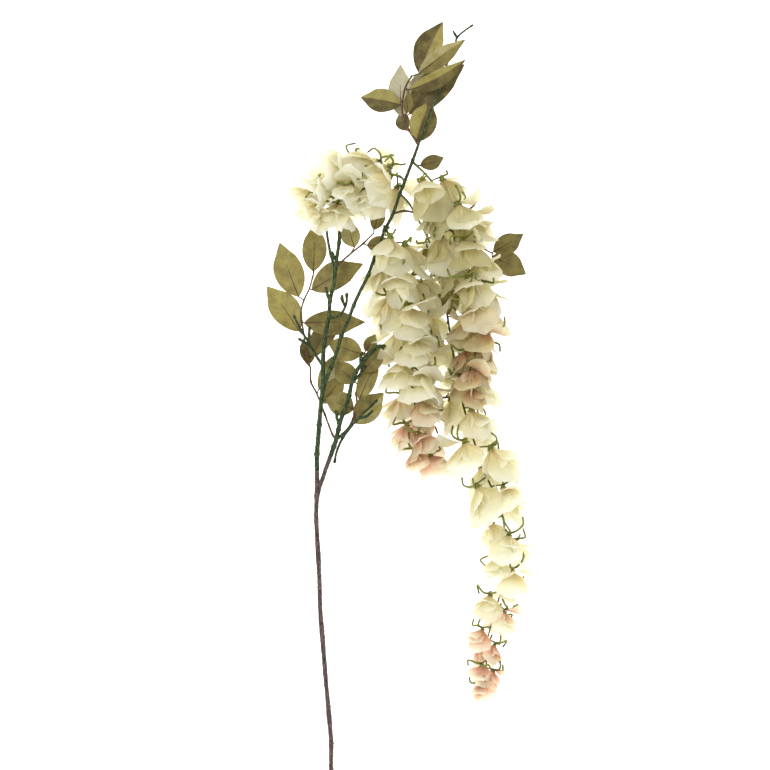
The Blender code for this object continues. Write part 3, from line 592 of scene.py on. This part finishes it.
def leaf_cloth(name, roughness, darks, lights, pales, rib):
    """Printed leaf cloth: mottled, darker or paler by the leaf, with thin side veins and a fine weave, and
    on some leaves one half painted paler as a painted highlight.
    """
    made, tree, shader = finish_named(name, roughness)
    seat = shader_node(tree, "TexCoord").outputs["Object"]
    place = shader_node(tree, "Attribute", attribute_name="place").outputs["Vector"]
    tone = shader_node(tree, "Attribute", attribute_name="tone").outputs["Vector"]
    parts = shader_node(tree, "SeparateXYZ", {"Vector": place})
    tones = shader_node(tree, "SeparateXYZ", {"Vector": tone})
    # One half of some leaves is painted paler, a painted highlight: the side given by the tone's second
    # part.
    turned = shader_node(tree, "Math", {0: parts.outputs["X"], 1: tones.outputs["Y"]},
                         operation="MULTIPLY").outputs[0]
    painted_highlight = shader_node(tree, "MapRange", {"Value": turned, "From Min": 0.0, "From Max": PAINTED_HIGHLIGHT_EDGE,
                                               "To Min": 0.0, "To Max": PAINTED_HIGHLIGHT}).outputs[0]
    shade = shader_node(tree, "Math", {0: tones.outputs["X"], 1: painted_highlight}, operation="ADD").outputs[0]
    from_rib = shader_node(tree, "Math", {0: parts.outputs["X"]}, operation="ABSOLUTE").outputs[0]
    slanted = shader_node(tree, "Math", {0: from_rib, 1: -VEIN_SLANT}, operation="MULTIPLY").outputs[0]
    climbed = shader_node(tree, "Math", {0: parts.outputs["Y"], 1: slanted}, operation="ADD").outputs[0]
    turns = shader_node(tree, "Math", {0: climbed, 1: VEIN_PAIRS}, operation="MULTIPLY").outputs[0]
    saw = shader_node(tree, "Math", {0: turns, 1: 0.5}, operation="PINGPONG").outputs[0]
    vein = shader_node(tree, "MapRange", {"Value": saw, "From Min": 0.0, "From Max": VEIN_WIDTH,
                                          "To Min": 1.0, "To Max": 0.0}).outputs[0]
    mottle = grain_of(tree, seat, 0.09, 4.0)
    blend = shader_node(tree, "Math", {0: mottle, 1: shade}, operation="ADD").outputs[0]
    half = shader_node(tree, "Math", {0: blend, 1: 0.5}, operation="MULTIPLY").outputs[0]
    ground = colour_ramp(tree, half, [(0.25, darks), (0.65, lights), (0.95, pales)])
    veined = shader_node(tree, "Mix", data_type="RGBA")
    faint = shader_node(tree, "Math", {0: vein, 1: VEIN_DARKNESS}, operation="MULTIPLY").outputs[0]
    tree.links.new(faint, veined.inputs[0])
    tree.links.new(ground, veined.inputs[6])
    veined.inputs[7].default_value = display(*rib)
    tree.links.new(veined.outputs[2], shader.inputs["Base Color"])
    weave = grain_of(tree, seat, 1.6, 2.0)
    raised = shader_node(tree, "Math", {0: weave, 1: vein}, operation="ADD").outputs[0]
    bump(tree, shader, raised, 0.12)
    return made


def leaf(joints, cast, draw, base, tip, width, roll, shade, painted_lit_side=0):
    """A cloth leaf with its stalk, which runs on along the midrib. The side with the painted highlight is
    -1, 1 or neither.
    """
    base, tip = Vector(base), Vector(tip)
    joint = min(joints, key=lambda p: (p - base).length)
    along = (tip - base).normalized()
    length = (tip - base).length
    side = Quaternion(along, math.radians(roll)) @ along.cross(Vector((0, 0, 1))).normalized()
    normal = side.cross(along)
    if (base - joint).length < SHORTEST_STALK:
        joint = base - STALK_ROOT * along
    phases = [draw.uniform(0, math.tau) for _ in range(3)]
    bend = draw.uniform(-LEAF_BEND, LEAF_BEND) * length

    def middle(share):
        arch = LEAF_ARCH * length * math.sin(math.pi * share)
        return base + share * length * along + arch * normal + bend * math.sin(math.pi * share) * side

    slow, fast = LEAF_RIPPLES
    rows, places = [], []
    for i in range(LEAF_ROWS + 1):
        share = i / LEAF_ROWS
        half = max(0.5 * width * leaf_width(share), NARROWEST)
        row = []
        for j in range(LEAF_COLUMNS + 1):
            across = 2 * j / LEAF_COLUMNS - 1
            wave = math.sin(slow * share + phases[across > 0])
            wave += RIPPLE_SHARE * math.sin(fast * share + phases[2])
            fold = LEAF_FOLD * abs(across) ** LEAF_FOLD_CURVE + LEAF_WAVE * across ** 2 * wave
            point = middle(share) + across * half * side + fold * half * normal
            point.z = max(point.z, LEAF_CLOTH / 2)
            row.append(point)
            places.append((across, share, 0.0))
        rows.append(row)
    points, upper, under, hem = cloth(rows, LEAF_CLOTH)
    tone = (shade, painted_lit_side, 0.0)
    start = len(cast.points)
    cast.add((points, upper + hem, places * 2), tone, 0)
    cast.faces += [[k + start for k in face] for face in under]
    cast.finishes += [1] * len(under)
    rib = [middle(MIDRIB_END * k / MIDRIB_SPANS) for k in range(MIDRIB_SPANS + 1)]
    bow = joint.lerp(base, 0.5) + STALK_BOW * (base - joint).length * normal
    stalk = smooth_route([joint, bow, rib[0]], STALK_SPANS)
    line = stalk[:-1] + rib
    bare = len(stalk) - 1
    radii = [STALK_RADIUS] * bare + tapered(rib, *MIDRIB_RADII)
    cast.add(tube(line, radii, MIDRIB_SIDES, MIDRIB_RELIEF, TWIG_GRAIN), tone, 2)


leaf_face = leaf_cloth("leaf_face", 0.6, (80, 68, 16), (162, 149, 76), (190, 184, 152), (72, 58, 16))
leaf_back = leaf_cloth("leaf_back", 0.7, (128, 118, 66), (184, 176, 128), (198, 192, 156), (112, 102, 54))
brown_twig, tree, shader = finish_named("brown_twig", 0.6)
place = shader_node(tree, "TexCoord").outputs["Object"]
patches = grain_of(tree, place, 0.35, 3.0)
browns = colour_ramp(tree, patches, [(0.3, (66, 42, 22)), (0.55, (98, 68, 40)), (0.75, (120, 112, 52))])
tree.links.new(browns, shader.inputs["Base Color"])
bump(tree, shader, patches, 0.2)

draw = random.Random(LEAF_SEED)
for node, facts in LEAVES.items():
    cast = Cast()
    joints = []
    for n, points in enumerate(facts["twigs"]):
        shape = knotted(points, TWIG_SPANS, *facts.get("ends", TWIG_RADII))
        finish = 3 if n in facts.get("green", ()) else 2
        cast.add(tube(*shape, TWIG_SIDES, TWIG_RELIEF, TWIG_GRAIN), finish=finish)
        joints += [Vector(p) for p in points]
    for shape in facts["leaves"]:
        leaf(joints, cast, draw, *shape)
    sprig = cast.piece(node + "_cloth", leaf_face, leaf_back, brown_twig, green_plastic)
    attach(sprig, "root")
    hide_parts(node)

# The flowers. Each hangs from its rachis on a short green stalk: a banner petal that stands up, two wings,
# two smaller petals behind them and two more inside, all die-cut from sheer cream cloth and pressed in a
# cup. The cloth is dyed pink towards the tips of the bunches, and the petals are threaded on the stalk.
RACEMES = {
    # Blush is where along the stem the petals start to turn pink and where most are. Tint and shade is how
    # much the cloth is darkened and yellowed, partly a yellower tint of the bunch and partly painted shade
    # between the petals, and hook how long the tendrils are.
    "flower_raceme_upper": dict(
        route=[(2, 290, 68), (-6, 298, 54), (-30, 299, 46), (-62, 291, 43), (-90, 277, 42),
               (-108, 258, 38)],
        first=0.08, flowers=17, sizes=(1.1, 1.2, 1.15), seed=4, splay=0.5, droop=1.3,
        ripple=9.0, crumple=1.1, blush=(-1000, -1001), tint_and_shade=0.0, hook=1.2,
    ),
    "flower_raceme_middle": dict(
        route=[(-22, 230, 65), (-13, 202, 64), (-4, 169, 60), (5, 123, 54), (10, 78, 50),
               (13, 32, 48), (17, -13, 46), (24, -46, 41), (29, -68, 36), (31, -76, 34)],
        first=0.01, flowers=23, sizes=(1.2, 1.25, 0.75), seed=12, splay=0.0, droop=0.5,
        ripple=5.0, crumple=1.0, blush=(45, -10), tint_and_shade=0.25, hook=1.0,
    ),
    "flower_raceme_right": dict(
        route=[(12, 315, 70), (29, 299, 74), (45, 279, 74), (57, 257, 72), (62, 238, 70),
               (68, 208, 67), (75, 188, 65), (90, 169, 64), (97, 136, 64), (99, 97, 66),
               (92, 62, 68), (84, 38, 68), (81, 24, 66)],
        first=0.05, flowers=21, sizes=(1.2, 1.15, 0.75), seed=2, splay=0.0, droop=0.5,
        ripple=5.0, crumple=1.0, blush=(150, 90), tint_and_shade=0.78, hook=1.0,
    ),
    "flower_raceme_long": dict(
        route=[(-4, 274, 66), (8, 262, 46), (22, 238, 24), (35, 212, 14), (48, 169, 11),
               (57, 123, 13), (64, 78, 19), (71, 32, 30), (82, -13, 38), (94, -52, 42),
               (108, -91, 42), (121, -120, 40), (130, -147, 38), (134, -182, 34), (133, -221, 28),
               (126, -250, 24), (119, -276, 20), (111, -305, 16), (109, -335, 12), (110, -369, 8)],
        first=0.1, flowers=35, sizes=(1.15, 1.2, 0.64), seed=8, splay=0.0, droop=0.5,
        ripple=5.0, crumple=1.0, blush=(-245, -290), tint_and_shade=0.0, hook=1.0,
    ),
}
STALK_LENGTH = 15.5
CALYX_RADIUS = 2.3
STALK_DROOP = 0.3
# Each petal is given by where it stands round the flower, its width and length, and its first and last
# slant from the axis with how far they swing.
LOBES = [
    (0, 38, 34, 80, 88, 36), (50, 42, 46, 52, 4, 9), (132, 34, 29, 44, 2, 9), (-132, 34, 29, 44, 2, 9),
    (-50, 42, 46, 52, 4, 9),
]
INNER_LOBES = [(22, 31, 34, 62, 16, 14), (-24, 30, 36, 56, 10, 14)]
LOBE_JITTER = (9.0, 0.1)
END_JITTER = 0.6
LOBE_STEPS = 4
LOBE_WIDEST = 0.6
LOBE_ROUNDNESS = 0.43
LOBE_BLUNTNESS = 3
LOBE_NECK = 0.13
LOBE_CLAW = 0.3
LOBE_CLAW_END = 0.6
RIM_PLACES = [(0.93, -0.55), (0.93, 0.55)]
RIM_REACH = 0.8
ROOM_TURNS = (0, 12, 24, 36, 50, 65, 80, 100, 125, 150)
ROOM_SIZES = (1, 0.91, 0.82, 0.74)
LOBE_CUP = 0.55
FLOWER_TURN = math.radians(122)
LAST_FLOWER = 0.985
TIP_CROWDING = 1.15
PLACE_JITTER = 0.4
TURN_JITTER = 0.4
SIZE_JITTER = 0.07
TWIST_JITTER = math.radians(40)
LEAN_JITTER = 0.3
SWAY_JITTER = 0.3
LOWEST_FACING = -0.45
LOWEST_CLOTH = 0.4
PETAL_CLOTH = 0.3
PETAL_ROWS = 10
PETAL_COLUMNS = 12
RIM_ROUNDING = 0.27
PETAL_START = 0.05
PETAL_CURL = 20
PETAL_FLARE = (8, 30)
PETAL_CUP = (0.25, 0.75)
PETAL_ROLL = 0.35
PETAL_FOLD = (-0.06, 0.05)
PETAL_RUFFLES = (4, 9)
RUFFLE_SHARE = 0.7
CRUMPLE_SIZE = 14.0
CRUMPLE_SPREAD = 99
CRUMPLE_SEED = 3
CLOTH_PALENESS = 0.36
CLOTH_GLOW = 0.66
CLOTH_SHEEN = 0.15
SHEER_START = 0.55
SHEER_LEAST = 0.1
SHEER_MOST = 0.3
BLUSH_SPREAD = 0.4
PATCH_SPREAD = (-0.7, 0.4)
PEACH_MOST = 0.4
TINT_AND_SHADE_SPREAD = (0.2, 1.8)


class Flower:
    """Where one flower hangs, which way it opens, and the shape of each of its petals."""

    def __init__(self, root, outward, hang, splay, size, draw):
        lean, sway, twist = (draw.uniform(-1, 1) for _ in range(3))
        self.root, self.size = root, size
        side = hang.cross(outward).normalized()
        leaning = hang + (splay + LEAN_JITTER * lean) * outward + SWAY_JITTER * sway * side
        self.axis = leaning.normalized()
        self.stalk = (outward + STALK_DROOP * hang).normalized()
        self.calyx = root + STALK_LENGTH * size * self.stalk
        self.calyx.z = max(self.calyx.z, CALYX_RADIUS * size)
        up = (outward - outward.dot(self.axis) * self.axis).normalized()
        self.up = Quaternion(self.axis, TWIST_JITTER * twist) @ up
        turn, stretch = LOBE_JITTER
        self.lobes = []
        for azimuth, width, length, first, last, swing in LOBES + INNER_LOBES:
            a, b, c, d = (draw.uniform(-1, 1) for _ in range(4))
            reach = size * (1 + stretch * b)
            end = last + swing * (c + END_JITTER * d)
            self.lobes.append((azimuth + turn * a, reach * width, reach * length, first + swing * c, end))

    def radial(self, azimuth):
        """The way out from the flower's axis at this many degrees round it."""
        return Quaternion(self.axis, math.radians(azimuth)) @ self.up

    def point(self, lobe, share, across, lift=0.0, cup=LOBE_CUP, roll=0.0, flare=0.0):
        """A point of a petal, at a share of its length and from -1 to 1 across it."""
        azimuth, width, length, first, last = lobe
        along = reach = 0.0
        for step in range(LOBE_STEPS):
            t = share * (step + 0.5) / LOBE_STEPS
            slant = math.radians(first - flare + (last - first + 2 * flare) * t + lift * t * t)
            along += share * length / LOBE_STEPS * math.cos(slant)
            reach += share * length / LOBE_STEPS * math.sin(slant)
        radial = self.radial(azimuth)
        side = self.axis.cross(radial)
        normal = math.cos(slant) * radial - math.sin(slant) * self.axis
        tangent = math.cos(slant) * self.axis + math.sin(slant) * radial
        turn = Quaternion(tangent, roll * share)
        side, normal = turn @ side, turn @ normal
        rounded = 1 - (abs(share - LOBE_WIDEST) / LOBE_ROUNDNESS) ** LOBE_BLUNTNESS
        outline = max(LOBE_NECK, rounded) ** 0.5
        half = 0.5 * width * outline * min(1.0, LOBE_CLAW + share / LOBE_CLAW_END)
        bend = cup * across * outline
        sideways = half * across * (math.sin(bend) / bend if bend else 1.0)
        inward = half * abs(across) * (1 - math.cos(bend)) / abs(bend) if bend else 0.0
        return self.calyx + along * self.axis + reach * radial + sideways * side - inward * normal


def flower_places(route, first, flowers, sizes, seed):
    """Where each flower sits on a rachis: its root, the tangent there, its size, turn and seed."""
    draw = random.Random(seed)
    tangents = tangents_of(route)
    reached = [0.0]
    for a, b in zip(route, route[1:]):
        reached.append(reached[-1] + (b - a).length)
    places = []
    for n in range(flowers):
        step = (n + PLACE_JITTER * draw.random()) / (flowers - 1 + PLACE_JITTER)
        share = first + (LAST_FLOWER - first) * (1 - (1 - step) ** TIP_CROWDING)
        length = share * reached[-1]
        i = max(j for j, reach in enumerate(reached[:-1]) if reach <= length)
        t = (length - reached[i]) / (reached[i + 1] - reached[i])
        root = route[i].lerp(route[i + 1], t)
        tangent = tangents[i].lerp(tangents[i + 1], t).normalized()
        half = 2 * (share - first) / (1 - first)
        k = min(int(half), 1)
        size = sizes[k] + (sizes[k + 1] - sizes[k]) * (half - k)
        size *= 1 + SIZE_JITTER * draw.uniform(-1, 1)
        turn = math.pi / 2 + n * FLOWER_TURN + TURN_JITTER * draw.uniform(-1, 1)
        places.append((root, tangent, size, turn, draw.randrange(10 ** 6)))
    return places


def facing(tangent, turn):
    """The way a flower faces, across the rachis. None faces straight down into the table."""
    level = tangent.cross(Vector((0, 0, 1))).normalized()
    up = level.cross(tangent).normalized()
    way = math.cos(turn) * level + math.sin(turn) * up
    way.z = max(way.z, LOWEST_FACING)
    return (way - way.dot(tangent) * tangent).normalized()


def flowers_of(facts, solid):
    """The flowers of a raceme, each turned as its solid is: most points of its rim touch the solid."""
    tree = BVHTree.FromPolygons(
        [v.co / MM for v in solid.data.vertices], [p.vertices for p in solid.data.polygons]
    )
    trials = [(s * turn, size) for size in ROOM_SIZES for turn in ROOM_TURNS for s in (1, -1)]
    route = smooth_route(facts["route"], 1)
    flowers = []
    places = flower_places(route, facts["first"], facts["flowers"], facts["sizes"], facts["seed"])
    for root, tangent, size, turn, seed in places:
        hang = (tangent + facts["droop"] * Vector((0, -1, 0))).normalized()
        most, found = 0, None
        for trial, (nudge, shrink) in enumerate(trials):
            way = facing(tangent, turn + math.radians(nudge))
            flower = Flower(root, way, hang, facts["splay"], size * shrink, random.Random(seed + trial))
            marks = 0
            for lobe in flower.lobes[:len(LOBES)]:
                for share, across in RIM_PLACES:
                    mark = flower.point(lobe, share, across)
                    mark.z = max(mark.z, LOWEST_CLOTH)
                    marks += tree.find_nearest(mark, RIM_REACH)[0] is not None
            if marks > most:
                most, found = marks, flower
        flowers.append((found, seed))
    return flowers


def petal(flower, lobe, ripple, crumple, draw):
    """A cloth petal as rows of points from the calyx to the rim, and where each lies on it."""
    phases = [draw.uniform(0, math.tau) for _ in range(3)]
    curl = draw.uniform(-PETAL_CURL, PETAL_CURL)
    flare = draw.uniform(*PETAL_FLARE)
    cup = draw.uniform(*PETAL_CUP)
    roll = draw.uniform(-PETAL_ROLL, PETAL_ROLL)
    fold = draw.uniform(*PETAL_FOLD)
    shift = Vector(draw.uniform(-CRUMPLE_SPREAD, CRUMPLE_SPREAD) for _ in range(3))
    slow, fast = PETAL_RUFFLES
    length, radial = lobe[2], flower.radial(lobe[0])
    rows, places = [], []
    for i in range(PETAL_ROWS + 1):
        t = PETAL_START + (1 - PETAL_START) * i / PETAL_ROWS
        row = []
        for j in range(PETAL_COLUMNS + 1):
            u = 2 * j / PETAL_COLUMNS - 1
            wave = math.sin(slow * u + phases[0]) + RUFFLE_SHARE * math.sin(fast * u + phases[1])
            share = t * (1 - RIM_ROUNDING * (u * t) ** 2)
            point = flower.point(lobe, share, u, ripple * wave + curl, cup, roll, flare)
            point += fold * (1 - abs(u)) ** 2 * t * length * radial
            point += crumple * flower.size * t * noise.noise_vector(point / CRUMPLE_SIZE + shift)
            point.z = max(point.z, LOWEST_CLOTH)
            row.append(point)
            places.append((u, t, 0.0))
        rows.append(row)
    return rows, places


petal_cloth, tree, shader = finish_named("petal_cloth", 0.75)
seat = shader_node(tree, "TexCoord").outputs["Object"]
place = shader_node(tree, "Attribute", attribute_name="place").outputs["Vector"]
tone = shader_node(tree, "Attribute", attribute_name="tone").outputs["Vector"]
along = shader_node(tree, "SeparateXYZ", {"Vector": place}).outputs["Y"]
tones = shader_node(tree, "SeparateXYZ", {"Vector": tone})
clouds = grain_of(tree, seat, 0.05, 2.0)
shifted = shader_node(tree, "Math", {0: clouds, 1: -0.5}, operation="ADD").outputs[0]
wander = shader_node(tree, "Math", {0: shifted, 1: 0.5}, operation="MULTIPLY").outputs[0]
reach = shader_node(tree, "Math", {0: along, 1: wander}, operation="ADD").outputs[0]
# Each petal turns darker and tan towards the calyx: partly the cloth's own peach base, partly painted shade
# where the petals close round the calyx.
creams = colour_ramp(tree, reach, [
    (0.0, (224, 200, 138)), (0.12, (249, 241, 199)), (0.5, (251, 248, 220)), (0.9, (253, 253, 242)),
])
peaches = colour_ramp(tree, reach, [
    (0.0, (216, 172, 112)), (0.25, (236, 210, 160)), (0.5, (242, 230, 194)), (1.0, (246, 242, 222)),
])
warmed = shader_node(tree, "Mix", data_type="RGBA")
tree.links.new(tones.outputs["X"], warmed.inputs[0])
tree.links.new(creams, warmed.inputs[6])
tree.links.new(peaches, warmed.inputs[7])
pinks = colour_ramp(tree, reach, [
    (0.0, (214, 162, 122)), (0.3, (241, 199, 170)), (0.6, (248, 227, 204)), (1.0, (250, 249, 230)),
])
blush = shader_node(tree, "Mix", data_type="RGBA")
tree.links.new(tones.outputs["Y"], blush.inputs[0])
tree.links.new(warmed.outputs[2], blush.inputs[6])
tree.links.new(pinks, blush.inputs[7])
# The tone's third part darkens and yellows the cloth, petal by petal: partly a yellower tint, partly
# painted shade.
tinted_and_shaded = shader_node(tree, "Mix", data_type="RGBA", blend_type="MULTIPLY")
tree.links.new(tones.outputs["Z"], tinted_and_shaded.inputs[0])
tree.links.new(blush.outputs[2], tinted_and_shaded.inputs[6])
tinted_and_shaded.inputs[7].default_value = (0.75, 0.71, 0.46, 1)
tree.links.new(tinted_and_shaded.outputs[2], shader.inputs["Base Color"])
creases = grain_of(tree, stretched(tree, place, (0.009, 0.0015, 0.01)), 1.0, 3.0)
weave = grain_of(tree, seat, 2.2, 2.0)
raised = shader_node(tree, "Math", {0: creases, 1: weave}, operation="ADD").outputs[0]
bump(tree, shader, raised, 0.12)
shader.inputs["Sheen Weight"].default_value = CLOTH_SHEEN
paler = shader_node(tree, "Mix", data_type="RGBA")
paler.inputs[0].default_value = CLOTH_PALENESS
tree.links.new(tinted_and_shaded.outputs[2], paler.inputs[6])
paler.inputs[7].default_value = (1, 1, 1, 1)
glow = shader_node(tree, "BsdfTranslucent")
tree.links.new(paler.outputs[2], glow.inputs["Color"])
both = shader_node(tree, "MixShader", {0: CLOTH_GLOW})
tree.links.new(shader.outputs["BSDF"], both.inputs[1])
tree.links.new(glow.outputs["BSDF"], both.inputs[2])
clear = shader_node(tree, "BsdfTransparent")
sheerness = shader_node(tree, "MapRange", {"Value": along, "From Min": SHEER_START, "From Max": 1.0,
                                           "To Min": SHEER_LEAST, "To Max": SHEER_MOST}).outputs[0]
sheer = shader_node(tree, "MixShader", {0: sheerness})
tree.links.new(both.outputs[0], sheer.inputs[1])
tree.links.new(clear.outputs[0], sheer.inputs[2])
tree.links.new(sheer.outputs[0], tree.nodes["Material Output"].inputs["Surface"])

# The cloth crumples in the same way on every run.
noise.seed_set(CRUMPLE_SEED)
grown = {node: flowers_of(facts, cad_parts[node]) for node, facts in RACEMES.items()}
for node, facts in RACEMES.items():
    cast = Cast()
    start, full = facts["blush"]
    for flower, seed in grown[node]:
        draw = random.Random(seed)
        pink = (flower.calyx.y - start) / (full - start) + draw.uniform(-BLUSH_SPREAD, BLUSH_SPREAD)
        for lobe in flower.lobes:
            patch = min(max(pink + draw.uniform(*PATCH_SPREAD), 0.0), 1.0)
            peach = PEACH_MOST * draw.random() ** 2
            # Each petal is darkened by a random share of the bunch's amount: partly tint, partly painted
            # shade.
            tint_and_shade = min(facts["tint_and_shade"] * draw.uniform(*TINT_AND_SHADE_SPREAD), 1.0)
            tone = (peach, patch, tint_and_shade)
            rows, places = petal(flower, lobe, facts["ripple"], facts["crumple"], draw)
            points, upper, under, hem = cloth(rows, PETAL_CLOTH)
            cast.add((points, upper + under + hem, places * 2), tone)
    petals = cast.piece(node + "_petals", petal_cloth)
    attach(petals, "root")
    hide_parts(node)

# The green parts of the flowers. Each rachis, with its flower stalks, calyx cups and hooked tendrils, is
# moulded in soft yellow-green plastic. The first tendrils of a bunch are the shortest.
RACHIS_RADII = (1.6, 0.9)
RACHIS_SIDES = 9
RACHIS_SPANS = 5
RACHIS_RELIEF = 0.12
RACHIS_GRAIN = 2.0
FLOWER_STALK_RADII = (0.95, 1.15)
FLOWER_STALK_SIDES = 8
FLOWER_STALK_SPANS = 4
FLOWER_STALK_RELIEF = 0.1
FLOWER_STALK_BOW = 1.24
FLOWER_STALK_END = 1.5
CALYX_PROFILE = [
    (1.1, -3.4, 0), (2.5, -1.0, 0), (3.3, 0.8, 0), (4.2, 2.4, 1), (3.9, 2.7, 1), (2.6, 1.2, 0),
    (0.8, -2.6, 0),
]
CALYX_SIDES = 15
CALYX_TEETH = 5
TOOTH = 1.3
CALYX_PLACE = 0.3
TENDRIL_RADII = (1.6, 1.3)
TENDRIL_SIDES = 8
TENDRIL_SPANS = 5
TENDRIL_RELIEF = 0.06
TENDRIL_ROOT = 1.0
TENDRIL_LENGTHS = (27, 36)
FIRST_HOOK = 0.35
HOOK_GAIN = 0.13


def calyx_cup(flower):
    """A small cup round the foot of the petals, with five teeth."""
    points, faces, places = [], [], []
    for side in range(CALYX_SIDES):
        turn = 360 * side / CALYX_SIDES
        spoke = flower.radial(turn)
        tooth = TOOTH * math.cos(math.radians(CALYX_TEETH * turn))
        for radius, height, toothed in CALYX_PROFILE:
            reach = flower.size * (radius + toothed * tooth)
            points.append(flower.calyx + reach * spoke + flower.size * height * flower.axis)
            places.append((side / CALYX_SIDES, CALYX_PLACE, 0.0))
    wide = len(CALYX_PROFILE)
    for side in range(CALYX_SIDES):
        after = (side + 1) % CALYX_SIDES
        for k in range(wide):
            m = (k + 1) % wide
            faces.append((side * wide + k, after * wide + k, after * wide + m, side * wide + m))
    return points, faces, places


def tendril(flower, side, length, draw):
    """A hooked tendril: it leaves the calyx outwards, bends to one side and hooks back at its end.
    Each leg says its share of the length, and how far it leads outwards, sideways and back."""
    out, back = flower.radial(0), -flower.axis
    across = side * flower.axis.cross(out)
    legs = [
        (0.3, 0.9, draw.uniform(0.3, 0.8), draw.uniform(0.0, 0.5)),
        (0.38, 0.35, 1.0, draw.uniform(-0.3, 1.3)),
        (0.32, -0.3, draw.uniform(-0.4, 0.6), draw.uniform(0.5, 1.4) * draw.choice((1, 1, -1))),
    ]
    ends = [flower.calyx - TENDRIL_ROOT * flower.axis]
    for share, outward, sideways, backward in legs:
        way = outward * out + sideways * across + backward * back
        ends.append(ends[-1] + share * length * way.normalized())
    route = smooth_route(ends, TENDRIL_SPANS)
    for point in route:
        point.z = max(point.z, TENDRIL_RADII[0])
    radii = tapered(route, *TENDRIL_RADII)
    points, faces, places = tube(route, radii, TENDRIL_SIDES, TENDRIL_RELIEF, RACHIS_GRAIN)
    reach = places[-1][1]
    return points, faces, [(x, y / reach, 0.0) for x, y, _ in places]


tendril_plastic, tree, shader = finish_named("tendril_plastic", 0.45)
seat = shader_node(tree, "TexCoord").outputs["Object"]
place = shader_node(tree, "Attribute", attribute_name="place").outputs["Vector"]
along = shader_node(tree, "SeparateXYZ", {"Vector": place}).outputs["Y"]
patches = grain_of(tree, seat, 0.3, 3.0)
shifted = shader_node(tree, "Math", {0: patches, 1: -0.5}, operation="ADD").outputs[0]
spot = shader_node(tree, "Math", {0: shifted, 1: along}, operation="ADD").outputs[0]
greens = colour_ramp(tree, spot, [
    (0.0, (64, 70, 20)), (0.3, (114, 120, 40)), (0.8, (126, 130, 50)), (1.0, (66, 72, 24)),
])
tree.links.new(greens, shader.inputs["Base Color"])
bump(tree, shader, patches, 0.15)

for node, facts in RACEMES.items():
    cast = Cast()
    route = smooth_route(facts["route"], RACHIS_SPANS)
    cast.add(tube(route, tapered(route, *RACHIS_RADII), RACHIS_SIDES, RACHIS_RELIEF, RACHIS_GRAIN))
    for n, (flower, seed) in enumerate(grown[node]):
        draw = random.Random(seed + 1)
        bow = flower.root.lerp(flower.calyx, 0.5) - FLOWER_STALK_BOW * flower.axis
        top = flower.calyx - FLOWER_STALK_END * flower.axis
        route = smooth_route([flower.root, bow, top], FLOWER_STALK_SPANS)
        radii = tapered(route, *FLOWER_STALK_RADII)
        cast.add(tube(route, radii, FLOWER_STALK_SIDES, FLOWER_STALK_RELIEF, RACHIS_GRAIN))
        cast.add(calyx_cup(flower))
        reach = facts["hook"] * min(1.0, FIRST_HOOK + HOOK_GAIN * n) * flower.size ** 0.5
        for side in (1, -1):
            cast.add(tendril(flower, side, reach * draw.uniform(*TENDRIL_LENGTHS), draw))
    greens = cast.piece(node + "_tendrils", tendril_plastic)
    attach(greens, "root")
    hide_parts(node)
